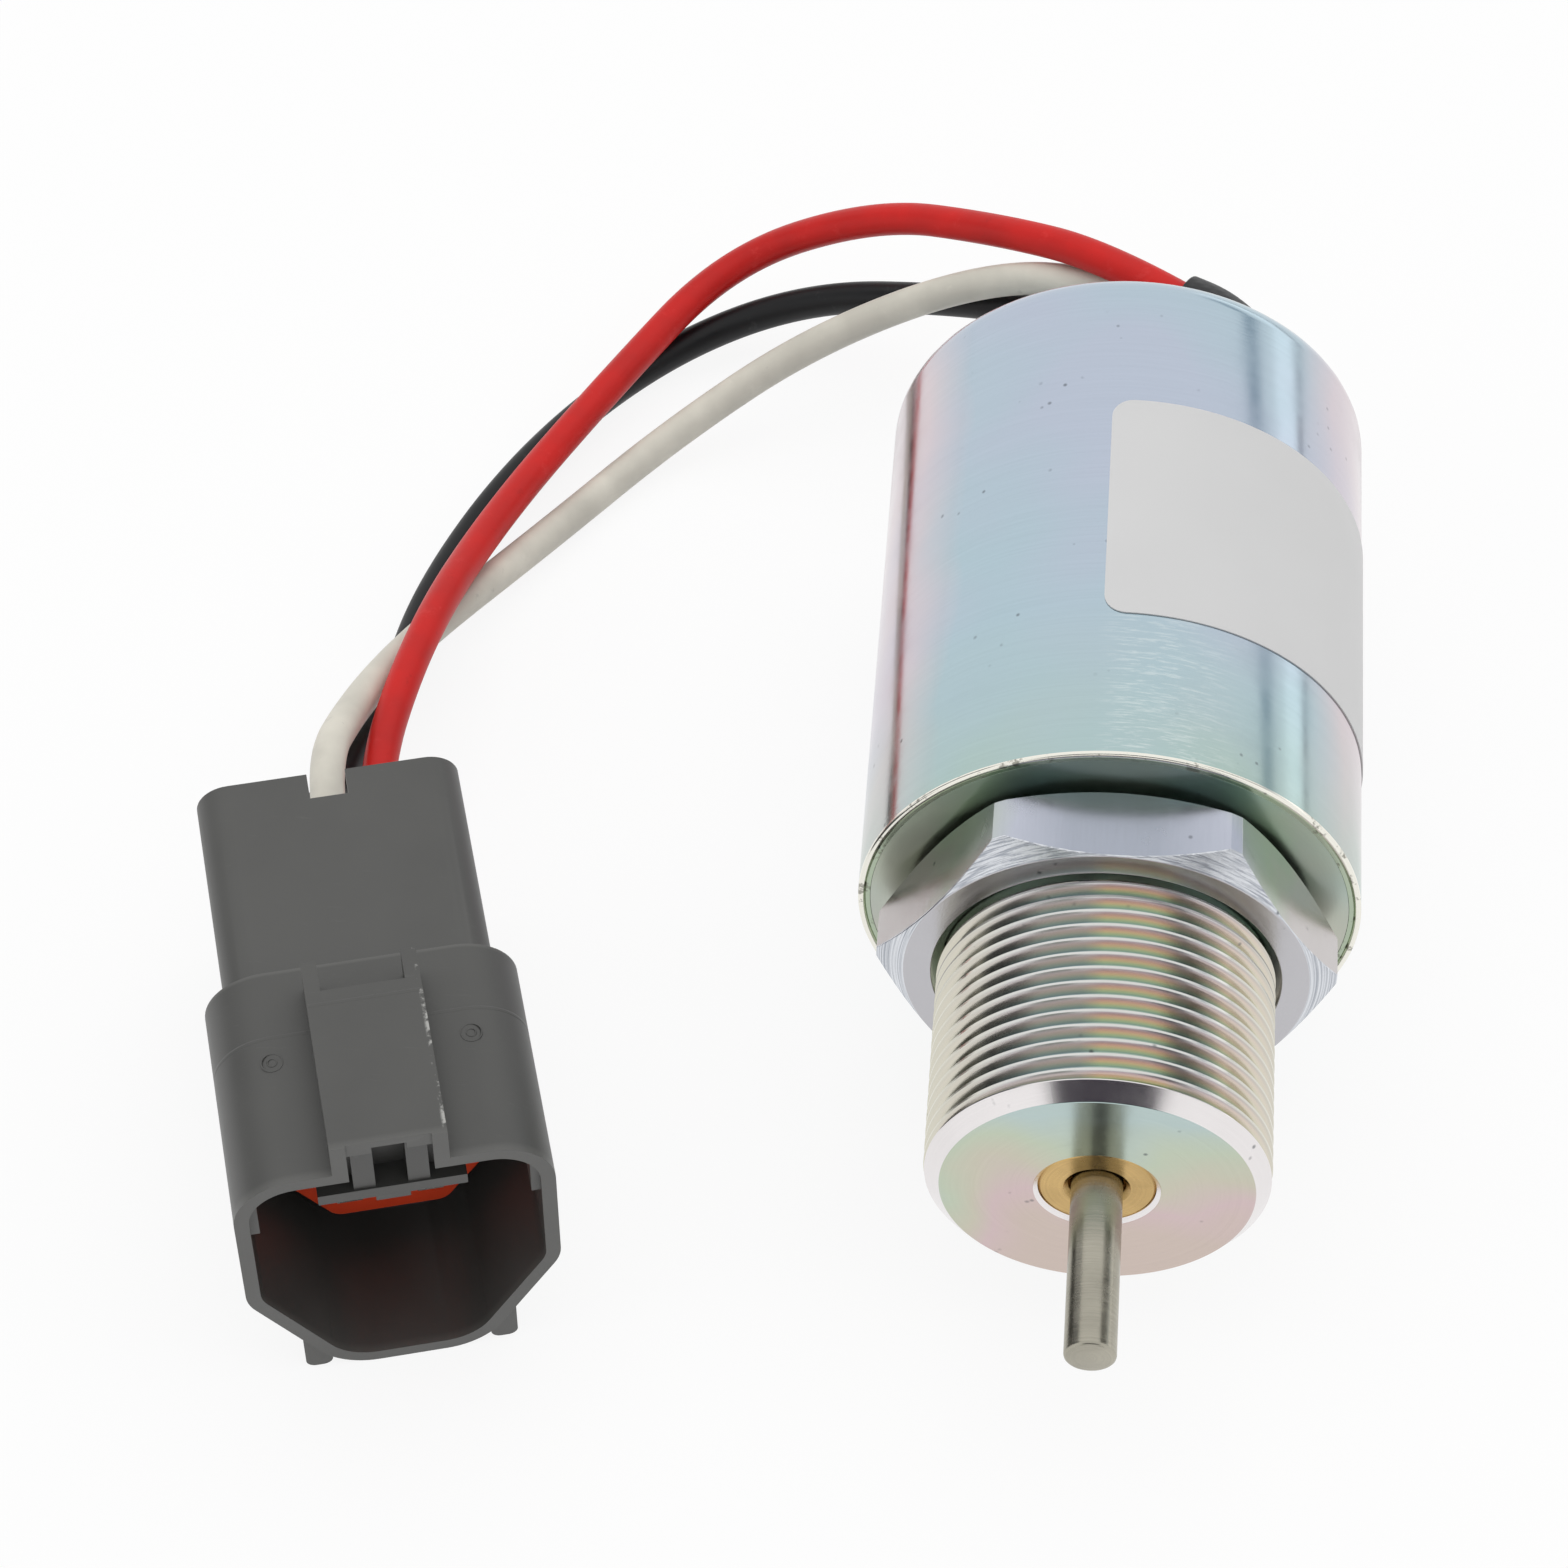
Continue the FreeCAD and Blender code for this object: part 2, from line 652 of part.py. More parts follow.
def make_terminals():
    tip = cavity_depth - retainer_thickness - blade_reach
    half_u = blade_width / 2
    half_h = blade_thickness / 2
    half = terminal_body / 2
    for number, (u, h) in enumerate(poles, 1):
        blade = box((u - half_u, u + half_u), (tip, terminal_body_from + 1), (h - half_h, h + half_h))
        front = [e for e in blade.Edges if abs(e.CenterOfMass.y - tip) < 1e-6 and e.Length > 1]
        blade = blade.makeChamfer(blade_thickness / 3, front)
        body = box((u - half, u + half), (terminal_body_from, seal_front), (h - half, h + half))
        nodes[f"terminal_{number}"] = placed(blade.fuse(body))


def make_seals():
    groove = seal_radius - seal_groove
    step = seal_length / (2 * seal_ribs + 1)
    profile = [(0, 0)]
    for i in range(seal_ribs):
        start = 2 * i * step
        profile += [(groove, start), (groove, start + step), (seal_radius, start + step),
                    (seal_radius, start + 2 * step)]
    profile += [(groove, 2 * seal_ribs * step), (groove, seal_length), (0, seal_length)]
    for number, (u, h) in enumerate(poles, 1):
        seal = turned(profile)
        seal.translate(Vector(u, seal_front, h))
        nodes[f"wire_seal_{number}"] = placed(seal)


pitch_radius = thread_radius - 0.3248 * thread_pitch
connector_at = Vector(connector_x, connector_y, -can_radius)
can_inner = can_radius - can_wall
bobbin_flange_radius = can_inner - coil_clearance
hold_in_radius = bobbin_flange_radius - wrap_below_flange - wrap_thickness
lead_x = can_radius - lead_inset
tube_bore = armature_radius + running_gap
tube_radius = tube_bore + tube_wall
bore_floor = -boss_length + boss_front_wall
armature_front = bore_floor + washer_thickness + stacked_gap
plate_front = flange_length + bobbin_length + 2 * stacked_gap
potting_front = plate_front + plate_thickness + stacked_gap
can_length = potting_front + potting_length + stacked_gap + can_wall
sleeve_way = Vector(-math.sin(math.radians(sleeve_bend_deg)), math.cos(math.radians(sleeve_bend_deg)), 0)
sleeve_mouth = Vector(
    lead_x - sleeve_bend_radius * (1 - math.cos(math.radians(sleeve_bend_deg))),
    can_length + sleeve_straight + sleeve_bend_radius * math.sin(math.radians(sleeve_bend_deg)),
    lead_z,
) + sleeve_way * sleeve_end
lead_start = sleeve_mouth - sleeve_way * sleeve_pocket
seal_back = connector_length - hood_depth + seal_proud
seal_front = seal_back - seal_length

make_can()
make_base()
make_nut()
make_bush()
make_plunger()
make_magnet_frame()
make_spring()
make_coil()
make_grommet()
make_sleeve()
make_potting()
make_leads()
make_label()
make_connector()
make_retainer()
make_terminals()
make_seals()

os.makedirs("parts", exist_ok=True)
for name, shape in nodes.items():
    if not shape.isValid():
        raise ValueError(f"{name} is not a valid shape")
    shape.exportStep(f"parts/{name}.step")
    print(name, len(shape.Solids), "solid", round(shape.Volume, 1), "mm3")
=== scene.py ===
"""Fuel shutoff solenoid with its leads and connector, dressed for rendering.

Laid out as an add-on: one operator for each piece or group of like pieces and one for the stage.
"""

import functools
import math

import bmesh
import bpy
from mathutils import Matrix, Vector


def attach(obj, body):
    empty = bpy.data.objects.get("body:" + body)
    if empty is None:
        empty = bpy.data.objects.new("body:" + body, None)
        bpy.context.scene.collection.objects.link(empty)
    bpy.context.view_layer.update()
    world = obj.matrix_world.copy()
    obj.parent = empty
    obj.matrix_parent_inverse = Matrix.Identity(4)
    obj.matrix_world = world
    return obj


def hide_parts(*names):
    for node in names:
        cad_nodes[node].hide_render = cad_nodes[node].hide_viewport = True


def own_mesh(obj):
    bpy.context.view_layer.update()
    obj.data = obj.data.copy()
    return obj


bl_info = {
    "name": "Fuel Shutoff Solenoid",
    "version": (1, 0, 0),
    "blender": (4, 5, 0),
    "location": "View3D > Sidebar > Solenoid",
    "description": "Builds a fuel shutoff solenoid with its leads, connector and stage",
    "category": "Add Mesh",
}

MM = 0.001
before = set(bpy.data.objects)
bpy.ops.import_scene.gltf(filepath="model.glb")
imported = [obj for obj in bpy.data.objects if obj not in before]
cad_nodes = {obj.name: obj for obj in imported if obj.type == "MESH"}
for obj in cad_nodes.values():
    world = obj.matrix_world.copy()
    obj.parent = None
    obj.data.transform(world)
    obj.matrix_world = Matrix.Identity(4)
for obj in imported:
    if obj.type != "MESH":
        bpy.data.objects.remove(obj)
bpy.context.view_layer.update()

# Places and sizes of the frame's solids that several pieces or finishes share, in millimetres

can_radius = 22.5
can_length = 58.0
thread_radius = 15.0
boss_front = -30.2
nut_front = -7.8
nut_back = -0.8
nut_face_radius = 17.9
lead_x, lead_z = 11.0, 0.5
sleeve_start = 55.45
floor_z = -22.5
connector_at = Vector((-59.45, -37.24, -22.5)) * MM
connector_turn = math.radians(15)
connector_length = 46.7


def hex_colour(code):
    """A linear colour from an sRGB hex value."""
    values = [int(code[i:i + 2], 16) / 255 for i in (1, 3, 5)]
    return [v / 12.92 if v <= 0.04045 else ((v + 0.055) / 1.055) ** 2.4 for v in values]


# Sizes and colours that a user may change


def length(name, description, default):
    return bpy.props.FloatProperty(name=name, description=description, default=default * MM,
                                   min=0.0, precision=5, unit="LENGTH", subtype="DISTANCE")


def colour(name, description, code):
    return bpy.props.FloatVectorProperty(name=name, description=description, size=3, min=0.0, max=1.0,
                                         subtype="COLOR", default=hex_colour(code))


class SolenoidSizes(bpy.types.PropertyGroup):
    """Sizes of the finish. The main dimensions belong to the frame."""
    thread_pitch: length("Thread pitch", "Distance between two crests of the boss's thread", 1.5)
    thread_depth: length("Thread depth", "From a crest of the thread to its root", 0.92)
    thread_crest: length("Thread crest", "Width of the flat on each crest", 0.22)
    nut_edge: length("Nut edge", "Softening of the nut's edges", 0.16)
    moulded_edge: length("Moulded edge", "Rounding of the connector's edges", 0.22)
    lead_diameter: length("Lead diameter", "Over the insulation of each lead", 3.3)


class SolenoidColours(bpy.types.PropertyGroup):
    """Colours of the finishes."""
    can: colour("Can", "Plated can, facing up", "#B2C7D1")
    can_edge: colour("Can sides", "Plated can, towards its sides", "#D6C9CE")
    flange: colour("Base", "Plated flange of the base", "#B4C0AE")
    nut: colour("Nut", "Plated lock nut", "#AAB0BC")
    bush: colour("Bush", "Brass guide bush", "#D6B478")
    rod: colour("Rod", "Turned steel plunger rod", "#B4B0A2")
    label: colour("Label", "Bare label film", "#D2D2D2")
    housing: colour("Housing", "Moulded connector housing", "#444442")
    retainer: colour("Retainer", "Moulded front retainer", "#E4400E")
    red_lead: colour("Red lead", "Insulation of the red lead", "#C81C18")
    black_lead: colour("Black lead", "Insulation of the black lead", "#121315")
    white_lead: colour("White lead", "Insulation of the white lead", "#D6D2C6")


def size_of(name):
    """One of the sizes, in millimetres."""
    return getattr(bpy.context.scene.solenoid_sizes, name) / MM


def tone_of(name):
    """One of the colours, linear."""
    return list(getattr(bpy.context.scene.solenoid_colours, name))


# Materials


def shade_of(tone):
    """Four channels from an sRGB hex value, a linear colour or a gray."""
    if isinstance(tone, str):
        tone = hex_colour(tone)
    return (*tone[:3], 1) if hasattr(tone, "__len__") else (tone, tone, tone, 1)


def scaled(tone, factor, plus=0.0):
    """A darker or paler tone."""
    return [min(1.0, c * factor + plus) for c in shade_of(tone)[:3]]


def add(tree, kind, links=None, out=0, stops=None, **settings):
    """Adds a node with its settings and returns one of its outputs, or all of them for an out of None.

    A socket in links is joined, and any other value is set. Stops are the places and shades of a ramp.
    """
    node = tree.nodes.new("ShaderNode" + kind)
    for name, value in settings.items():
        setattr(node, name, value)
    for name, value in (links or {}).items():
        socket = node.inputs[name]
        if isinstance(value, bpy.types.NodeSocket):
            tree.links.new(value, socket)
        else:
            socket.default_value = shade_of(value) if socket.type == "RGBA" else value
    if stops:
        ramp = node.color_ramp
        while len(ramp.elements) < len(stops):
            ramp.elements.new(0.5)
        for element, (place, shade) in zip(ramp.elements, stops):
            element.position = place
            element.color = shade_of(shade)
    if out is None:
        return node.outputs
    return node.outputs[out] if node.outputs else None


def start_nodes(owner):
    """Empties the node tree of a material or world, and returns the function that adds its nodes."""
    owner.use_nodes = True
    owner.node_tree.nodes.clear()
    return functools.partial(add, owner.node_tree)


def start_material(name):
    """A new material, the function that adds its nodes, and its object coordinates."""
    material = bpy.data.materials.new(name)
    node = start_nodes(material)
    return material, node, node("TexCoord", out="Object")


def end_material(material, node, reliefs, links):
    """Joins the shader to the output. Each relief is a height, its strength and its depth in mm."""
    bump = {}
    for height, strength, depth_mm in reliefs:
        bump.update({"Height": height, "Strength": strength, "Distance": depth_mm * MM})
        bump["Normal"] = node("Bump", bump, out="Normal")
    node("OutputMaterial", {"Surface": node("BsdfPrincipled", {**links, "Normal": bump["Normal"]})})
    return material


def radius_of(node, x, z):
    """Distance from the Y axis."""
    square = node("Math", {0: z, 1: z}, operation="MULTIPLY")
    squares = node("Math", {0: x, 1: x, 2: square}, operation="MULTIPLY_ADD")
    return node("Math", {0: squares}, operation="SQRT")


def from_middle(node, part, half_mm):
    """How far a coordinate is from zero, either way, as a share of half a width."""
    either = node("Math", {0: part}, operation="ABSOLUTE")
    return node("Math", {0: either, 1: 1 / (half_mm * MM)}, operation="MULTIPLY")


def mottled(node, place, size_mm, detail, stops, roughness=0.5):
    """Random patches, the largest about size_mm across, put through a ramp."""
    patches = node("TexNoise", {"Vector": place, "Scale": 1 / (size_mm * MM), "Detail": detail,
                                "Roughness": roughness})
    return node("ValToRGB", {"Fac": patches}, stops=stops)


def lathe_marks(node, place, spacing_mm, run=60):
    """Fine rings about the Y axis, on faces and on round surfaces alike, in runs of so many spacings.

    The real rings are often under 0.1 mm apart, so they are drawn as coarse as they need to show.
    """
    x, y, z = node("SeparateXYZ", {"Vector": place}, out=None)
    fine = 1 / (spacing_mm * MM)
    along = node("Math", {0: y, 1: fine}, operation="MULTIPLY")
    out = node("Math", {0: radius_of(node, x, z), 1: fine}, operation="MULTIPLY")
    around = node("Math", {0: x, 1: fine / run}, operation="MULTIPLY")
    rings = node("CombineXYZ", {"X": along, "Y": out, "Z": around})
    return node("TexNoise", {"Vector": rings, "Scale": 1.0, "Detail": 4.0, "Roughness": 0.65})


def plated(material, node, place, tone, marks, roughness, depth=0.08, matt=0.0):
    """Bright zinc plating with a thin clear passivate, over drawn or turned steel.

    It reads as pale tinted metal with a clear shine. Tool marks of about 0.2 mm show faintly in it,
    and small dark specks and dull scuffs break the shine. It is duller where matt is one.
    """
    specks = node("TexVoronoi", {"Vector": place, "Scale": 1 / (2.0833 * MM), "Randomness": 1.0},
                  out="Distance")
    specks = node("ValToRGB", {"Fac": specks}, stops=((0.05, 1), (0.13, 0)))
    few = mottled(node, place, 7.6923, 3.0, ((0.53, 0), (0.61, 0.75)))
    specks = node("Math", {0: specks, 1: few}, operation="MULTIPLY")
    lines = node("ValToRGB", {"Fac": marks}, stops=((0.3, 0.8), (0.7, 1.0)))
    tone = node("Mix", {0: 0.2, 6: tone, 7: lines}, out=2, data_type="RGBA", blend_type="MULTIPLY")
    tone = node("Mix", {0: specks, 6: tone, 7: "#5A6064"}, out=2, data_type="RGBA")
    worn = mottled(node, place, 5.5556, 5.0, ((0.4, roughness), (0.72, roughness + 0.09)), 0.65)
    worn = node("Math", {0: matt, 1: 0.14, 2: worn}, operation="MULTIPLY_ADD")
    return end_material(material, node, [(marks, depth, 0.05)], {
        "Base Color": tone, "Metallic": 1.0, "Roughness": worn})


def can_plating(face, side):
    """Blue zinc plating on the drawn can.

    Pale blue on top with slow lilac patches, greener by the rim and pink at the sides, where the
    passivate is seen at a slant. A patch below the label has fine brushing streaks, painted near white
    as a highlight, and the rolled rim is pale with dark nicks.
    """
    material, node, place = start_material("blue zinc-plated drawn can")
    x, y, z = node("SeparateXYZ", {"Vector": place}, out=None)
    drift = node("TexNoise", {"Vector": place, "Scale": 1 / (16.6667 * MM), "Detail": 2.0})
    slant = node("Math", {0: drift, 1: 0.25, 2: from_middle(node, x, can_radius)},
                 operation="MULTIPLY_ADD")
    slant = node("ValToRGB", {"Fac": slant}, stops=((0.8, 0), (1.0, 1)))
    patch = mottled(node, place, 29.4118, 2.0, ((0.48, 0), (0.68, 0.7)))
    near = node("Math", {0: y, 1: -1 / (17 * MM), 2: 1.0}, operation="MULTIPLY_ADD", use_clamp=True)
    drift = node("Math", {0: drift, 1: 1.3}, operation="MULTIPLY")
    near = node("Math", {0: near, 1: drift}, operation="MULTIPLY", use_clamp=True)
    # Painted highlight: a patch on top of the can, ahead of the label, is painted near white (#EEF4F2) in
    # fine brushing streaks.
    across = node("Math", {0: x, 1: 1 / (2 * can_radius * MM), 2: 0.5}, operation="MULTIPLY_ADD")
    across = node("ValToRGB", {"Fac": across}, stops=((0.44, 0), (0.5, 1), (0.62, 1), (0.74, 0)))
    deep = node("Math", {0: y, 1: 1 / (can_length * MM)}, operation="MULTIPLY")
    deep = node("ValToRGB", {"Fac": deep}, stops=((0.02, 1), (0.22, 0.9), (0.34, 0.1), (1.0, 0.0)))
    streaks = node("ValToRGB", {"Fac": lathe_marks(node, place, 0.2, 9)}, stops=((0.5, 0), (0.64, 0.34)))
    brushed_sheen = node("Math", {0: across, 1: deep}, operation="MULTIPLY")
    brushed_sheen = node("Math", {0: brushed_sheen, 1: streaks}, operation="MULTIPLY")
    lip = node("Math", {0: y, 1: 0.16 * MM}, operation="LESS_THAN")
    ring = node("Math", {0: radius_of(node, x, z), 1: 21.93 * MM}, operation="GREATER_THAN")
    rolled = node("Mix", {0: ring, 6: "#AEBBA6", 7: "#F2F0E6"}, out=2, data_type="RGBA")
    nicks = mottled(node, place, 2.381, 4.0, ((0.57, 0), (0.63, 0.7)), 0.7)
    nicks = node("Math", {0: nicks, 1: lip}, operation="MULTIPLY")
    tone = face
    for share, coat in ((slant, side), (patch, "#BEC2D4"), (near, "#AFC6BA"), (brushed_sheen, "#EEF4F2"),
                        (lip, rolled), (nicks, "#6E6C60")):
        tone = node("Mix", {0: share, 6: tone, 7: coat}, out=2, data_type="RGBA")
    return plated(material, node, place, tone, lathe_marks(node, place, 0.2), 0.13)


def base_plating(flange, thread_depth):
    """Green and yellow iridescent passivate on the turned base.

    The thread's flanks run through pink, yellow and green in the middle and cream at the sides, its
    crests are worn bright, and the end face turns slowly from pale teal at the top to pink below.
    """
    material, node, place = start_material("iridescent zinc-plated base")
    x, y, z = node("SeparateXYZ", {"Vector": place}, out=None)
    deep = node("Math", {0: radius_of(node, x, z), 1: -1 / (thread_depth * MM),
                         2: thread_radius / thread_depth}, operation="MULTIPLY_ADD")
    flank = node("ValToRGB", {"Fac": deep}, stops=(
        (0.0, "#D6D6D2"), (0.1, "#A8949C"), (0.3, "#E8C8B8"), (0.55, "#E6D8B4"), (0.78, "#CFDCBC"),
        (1.0, "#BCD0C4")))
    plain = node("ValToRGB", {"Fac": deep}, stops=((0.0, "#DEDEDC"), (0.2, "#C6C6C6"), (1.0, "#96A2AA")))
    across = node("Math", {0: x, 1: 1 / (2 * thread_radius * MM), 2: 0.5}, operation="MULTIPLY_ADD")
    tinted = node("ValToRGB", {"Fac": across}, stops=(
        (0.05, 0.5), (0.14, 0.2), (0.42, 0.3), (0.48, 0.75), (0.66, 0.75), (0.71, 0.4), (0.9, 0.7)))
    cream = node("ValToRGB", {"Fac": across}, stops=(
        (0.0, 1), (0.14, 0.5), (0.22, 0), (0.8, 0), (1.0, 0.9)))
    high = node("Math", {0: x, 1: -0.35, 2: z}, operation="MULTIPLY_ADD")
    drift = node("TexNoise", {"Vector": place, "Scale": 1 / (13.3333 * MM), "Detail": 1.5})
    high = node("Math", {0: drift, 1: 34 * MM, 2: high}, operation="MULTIPLY_ADD")
    high = node("Math", {0: high, 1: 1 / (2 * thread_radius * MM), 2: -0.06}, operation="MULTIPLY_ADD")
    end = node("ValToRGB", {"Fac": high}, stops=(
        (0.12, "#CFBFB6"), (0.36, "#D3BEBF"), (0.54, "#CBC7B6"), (0.7, "#C2CCB8"), (0.92, "#BACBC9")))
    chamfer = node("Math", {0: y, 1: (boss_front + 1.54) * MM}, operation="LESS_THAN")
    face = node("Math", {0: y, 1: (boss_front + 0.07) * MM}, operation="LESS_THAN")
    teal = mottled(node, place, 18.1818, 2.0, ((0.42, flange), (0.62, "#A9C0B6")))
    low = node("Math", {0: z, 1: -1 / (40 * MM), 2: 0.3}, operation="MULTIPLY_ADD", use_clamp=True)
    back = node("Mix", {0: low, 6: teal, 7: "#D2BDB8"}, out=2, data_type="RGBA")
    behind = node("Math", {0: y, 1: (nut_front + 0.1) * MM}, operation="GREATER_THAN")
    tone = plain
    for share, coat in ((tinted, flank), (cream, "#DAD7C8"), (chamfer, "#ECE8E8"), (face, end),
                        (behind, back)):
        tone = node("Mix", {0: share, 6: tone, 7: coat}, out=2, data_type="RGBA")
    return plated(material, node, place, tone, lathe_marks(node, place, 0.15), 0.17, matt=behind)


def nut_plating(face):
    """Zinc plating over a nut made from drawn hexagon bar.

    Bluish lilac on top, green-gray to beige at the sides. Fine drawing scratches run along the
    flats, the chamfer carries a painted sheen of gray and near-white turning streaks, and the front face is
    matt.
    """
    material, node, place = start_material("zinc-plated hexagon nut")
    x, y, z = node("SeparateXYZ", {"Vector": place}, out=None)
    cloud = node("TexNoise", {"Vector": place, "Scale": 1 / (13.3333 * MM), "Detail": 3.0})
    out = node("Math", {0: cloud, 1: 0.5, 2: from_middle(node, x, 21)}, operation="MULTIPLY_ADD")
    tone = node("ValToRGB", {"Fac": out}, stops=(
        (0.35, face), (0.7, "#BFC3D0"), (0.92, "#BFC8BC"), (1.0, "#C9C4C3")))
    stretched = node("Mapping", {"Vector": place, "Scale": (1.0, 0.05, 1.0)})
    marks = node("TexNoise", {"Vector": stretched, "Scale": 1 / (0.22 * MM), "Detail": 4.0,
                              "Roughness": 0.7})
    slope = node("Math", {0: y, 1: -math.sqrt(3), 2: radius_of(node, x, z)}, operation="MULTIPLY_ADD")
    on_slope = (nut_face_radius - nut_front * math.sqrt(3)) * MM
    chamfer = node("Math", {0: slope, 1: on_slope, 2: 0.25 * MM}, operation="COMPARE")
    # Painted sheen: the whole chamfer is painted in gray and near-white turning streaks, in place of its
    # shine.
    brushed_sheen = node("ValToRGB", {"Fac": lathe_marks(node, place, 0.16, 14)},
                   stops=((0.38, "#A4A9B2"), (0.56, "#DFE2E7")))
    front = node("Math", {0: y, 1: (nut_front + 0.05) * MM}, operation="LESS_THAN")
    for share, coat in ((chamfer, brushed_sheen), (front, "#C2C1C5")):
        tone = node("Mix", {0: share, 6: tone, 7: coat}, out=2, data_type="RGBA")
    return plated(material, node, place, tone, marks, 0.2, 0.16)


def turned_metal(name, tone, roughness, marks_mm, marks=0.2, stain=0.5):
    """Bare turned brass, steel or iron: fine rings from the tool, and a slightly uneven oxide tint."""
    material, node, place = start_material(name)
    rings = lathe_marks(node, place, marks_mm)
    patch = mottled(node, place, 3.8462, 4.0, ((0.35, 0), (0.7, stain)))
    shade = node("Mix", {0: patch, 6: tone, 7: scaled(tone, 0.62)}, out=2, data_type="RGBA")
    lines = node("ValToRGB", {"Fac": rings}, stops=((0.3, 0.6), (0.7, 1.0)))
    shade = node("Mix", {0: 0.4, 6: shade, 7: lines}, out=2, data_type="RGBA", blend_type="MULTIPLY")
    worn = mottled(node, place, 2.0, 4.0, ((0.3, roughness - 0.05), (0.7, roughness + 0.08)))
    return end_material(material, node, [(rings, marks, 0.05)], {
        "Base Color": shade, "Metallic": 1.0, "Roughness": worn})


def moulded_nylon(name, tone, roughness, flash=0.0):
    """Injection-moulded glass-filled nylon.

    Satin, with a spark-eroded grain, drawn at 0.12 mm so that it shows, and pale scuffs. The housing
    has a share of flash: a whitish trace of it stays on the cover's edge, and a parting line runs round
    the shroud. On the housing the mouth's lip and the shroud's back edge carry a painted highlight, and
    a painted shade lies just behind that edge.
    """
    material, node, place = start_material(name)
    cloud = node("TexNoise", {"Vector": place, "Scale": 1 / (11.1111 * MM), "Detail": 3.0})
    shade = node("ValToRGB", {"Fac": cloud}, stops=((0.35, scaled(tone, 0.9)), (0.7, scaled(tone, 1.1))))
    stretched = node("Mapping", {"Vector": place, "Scale": (1.0, 9.0, 3.0), "Rotation": (0.3, 0.2, 0.5)})
    scuffs = mottled(node, stretched, 3.8462, 5.0, ((0.62, 0), (0.72, 0.2)), 0.7)
    grain = node("TexNoise", {"Vector": place, "Scale": 1 / (0.12 * MM), "Detail": 3.0, "Roughness": 0.6})
    coats = [(scuffs, scaled(tone, 1.7, 0.02))]
    reliefs = [(grain, 0.22, 0.03)]
    if flash:
        own = node("Mapping", {"Vector": place, "Location": connector_at,
                               "Rotation": (0, 0, connector_turn)}, vector_type="TEXTURE")
        u, v, h = node("SeparateXYZ", {"Vector": own}, out=None)
        # Painted highlight: the mouth's lip is painted paler, fading out 0.9 mm in from its front face.
        lip = node("Math", {0: v, 1: 1 / (0.9 * MM)}, operation="MULTIPLY")
        lip = node("ValToRGB", {"Fac": lip}, stops=((0.0, 0.55), (0.45, 0.4), (1.0, 0.0)))
        cover = node("Math", {0: u, 1: -4.95 * MM}, operation="ADD")
        beside = node("ValToRGB", {"Fac": from_middle(node, cover, 0.6)}, stops=((0.2, 1), (0.6, 0)))
        upper = node("Math", {0: h, 1: 33.4 * MM}, operation="GREATER_THAN")
        torn = mottled(node, place, 1.4286, 4.0, ((0.5, 0), (0.6, flash)), 0.7)
        for where in (beside, upper):
            torn = node("Math", {0: torn, 1: where}, operation="MULTIPLY")
        along = node("Math", {0: v, 1: 1 / (connector_length * MM)}, operation="MULTIPLY")
        # Painted highlight: a thin band at the shroud's back edge (rim) is painted paler.
        rim = node("ValToRGB", {"Fac": along}, stops=(
            (0.462, 0), (0.466, 0.5), (0.4688, 0.5), (0.4692, 0)))
        # Painted shade: the band just behind the shroud's back edge (behind) is painted darker.
        behind = node("ValToRGB", {"Fac": along}, stops=((0.4692, 0), (0.47, 0.45), (0.505, 0.0)))
        coats += [(lip, scaled(tone, 1.9)), (torn, "#B4B4B0"), (behind, scaled(tone, 0.45)),
                  (rim, scaled(tone, 2.2))]
        seam = node("Math", {0: v, 1: -15 * MM}, operation="ADD")
        seam = node("ValToRGB", {"Fac": from_middle(node, seam, 0.3)}, stops=((0.3, 1), (0.7, 0)))
        reliefs.append((seam, 0.5, 0.08))
    for share, coat in coats:
        shade = node("Mix", {0: share, 6: shade, 7: coat}, out=2, data_type="RGBA")
    worn = node("ValToRGB", {"Fac": cloud}, stops=((0.3, roughness - 0.05), (0.7, roughness + 0.06)))
    return end_material(material, node, reliefs, {
        "Base Color": shade, "Roughness": worn, "IOR": 1.53, "Specular IOR Level": 0.65})


def wire_insulation(name, tone):
    """Extruded cross-linked polyethylene insulation: smooth and satin, with faint handling marks."""
    material, node, place = start_material(name)
    cloud = node("TexNoise", {"Vector": place, "Scale": 1 / (6.25 * MM), "Detail": 4.0})
    shade = node("ValToRGB", {"Fac": cloud}, stops=((0.35, scaled(tone, 0.86)), (0.7, scaled(tone, 1.08))))
    scuff = node("TexNoise", {"Vector": place, "Scale": 1 / (2.381 * MM), "Detail": 5.0, "Roughness": 0.7})
    pale = node("ValToRGB", {"Fac": scuff}, stops=((0.6, 0), (0.72, 0.22)))
    dirt = node("ValToRGB", {"Fac": scuff}, stops=((0.28, 0.3), (0.36, 0.0)))
    for share, coat in ((pale, scaled(tone, 1.2, 0.06)), (dirt, scaled(tone, 0.5))):
        shade = node("Mix", {0: share, 6: shade, 7: coat}, out=2, data_type="RGBA")
    worn = node("ValToRGB", {"Fac": cloud}, stops=((0.3, 0.37), (0.7, 0.52)))
    fine = node("TexNoise", {"Vector": place, "Scale": 1 / (0.66667 * MM), "Detail": 3.0})
    return end_material(material, node, [(fine, 0.08, 0.04)], {
        "Base Color": shade, "Roughness": worn, "IOR": 1.51, "Specular IOR Level": 0.3})


def soft_rubber(name, tone, roughness=0.6):
    """Moulded rubber: matt, with dusty high spots."""
    material, node, place = start_material(name)
    shade = mottled(node, place, 2.381, 5.0, ((0.5, tone), (0.8, scaled(tone, 2.0, 0.012))), 0.65)
    grain = node("TexNoise", {"Vector": place, "Scale": 1 / (0.45455 * MM), "Detail": 3.0})
    return end_material(material, node, [(grain, 0.25, 0.04)], {
        "Base Color": shade, "Roughness": roughness, "IOR": 1.52})


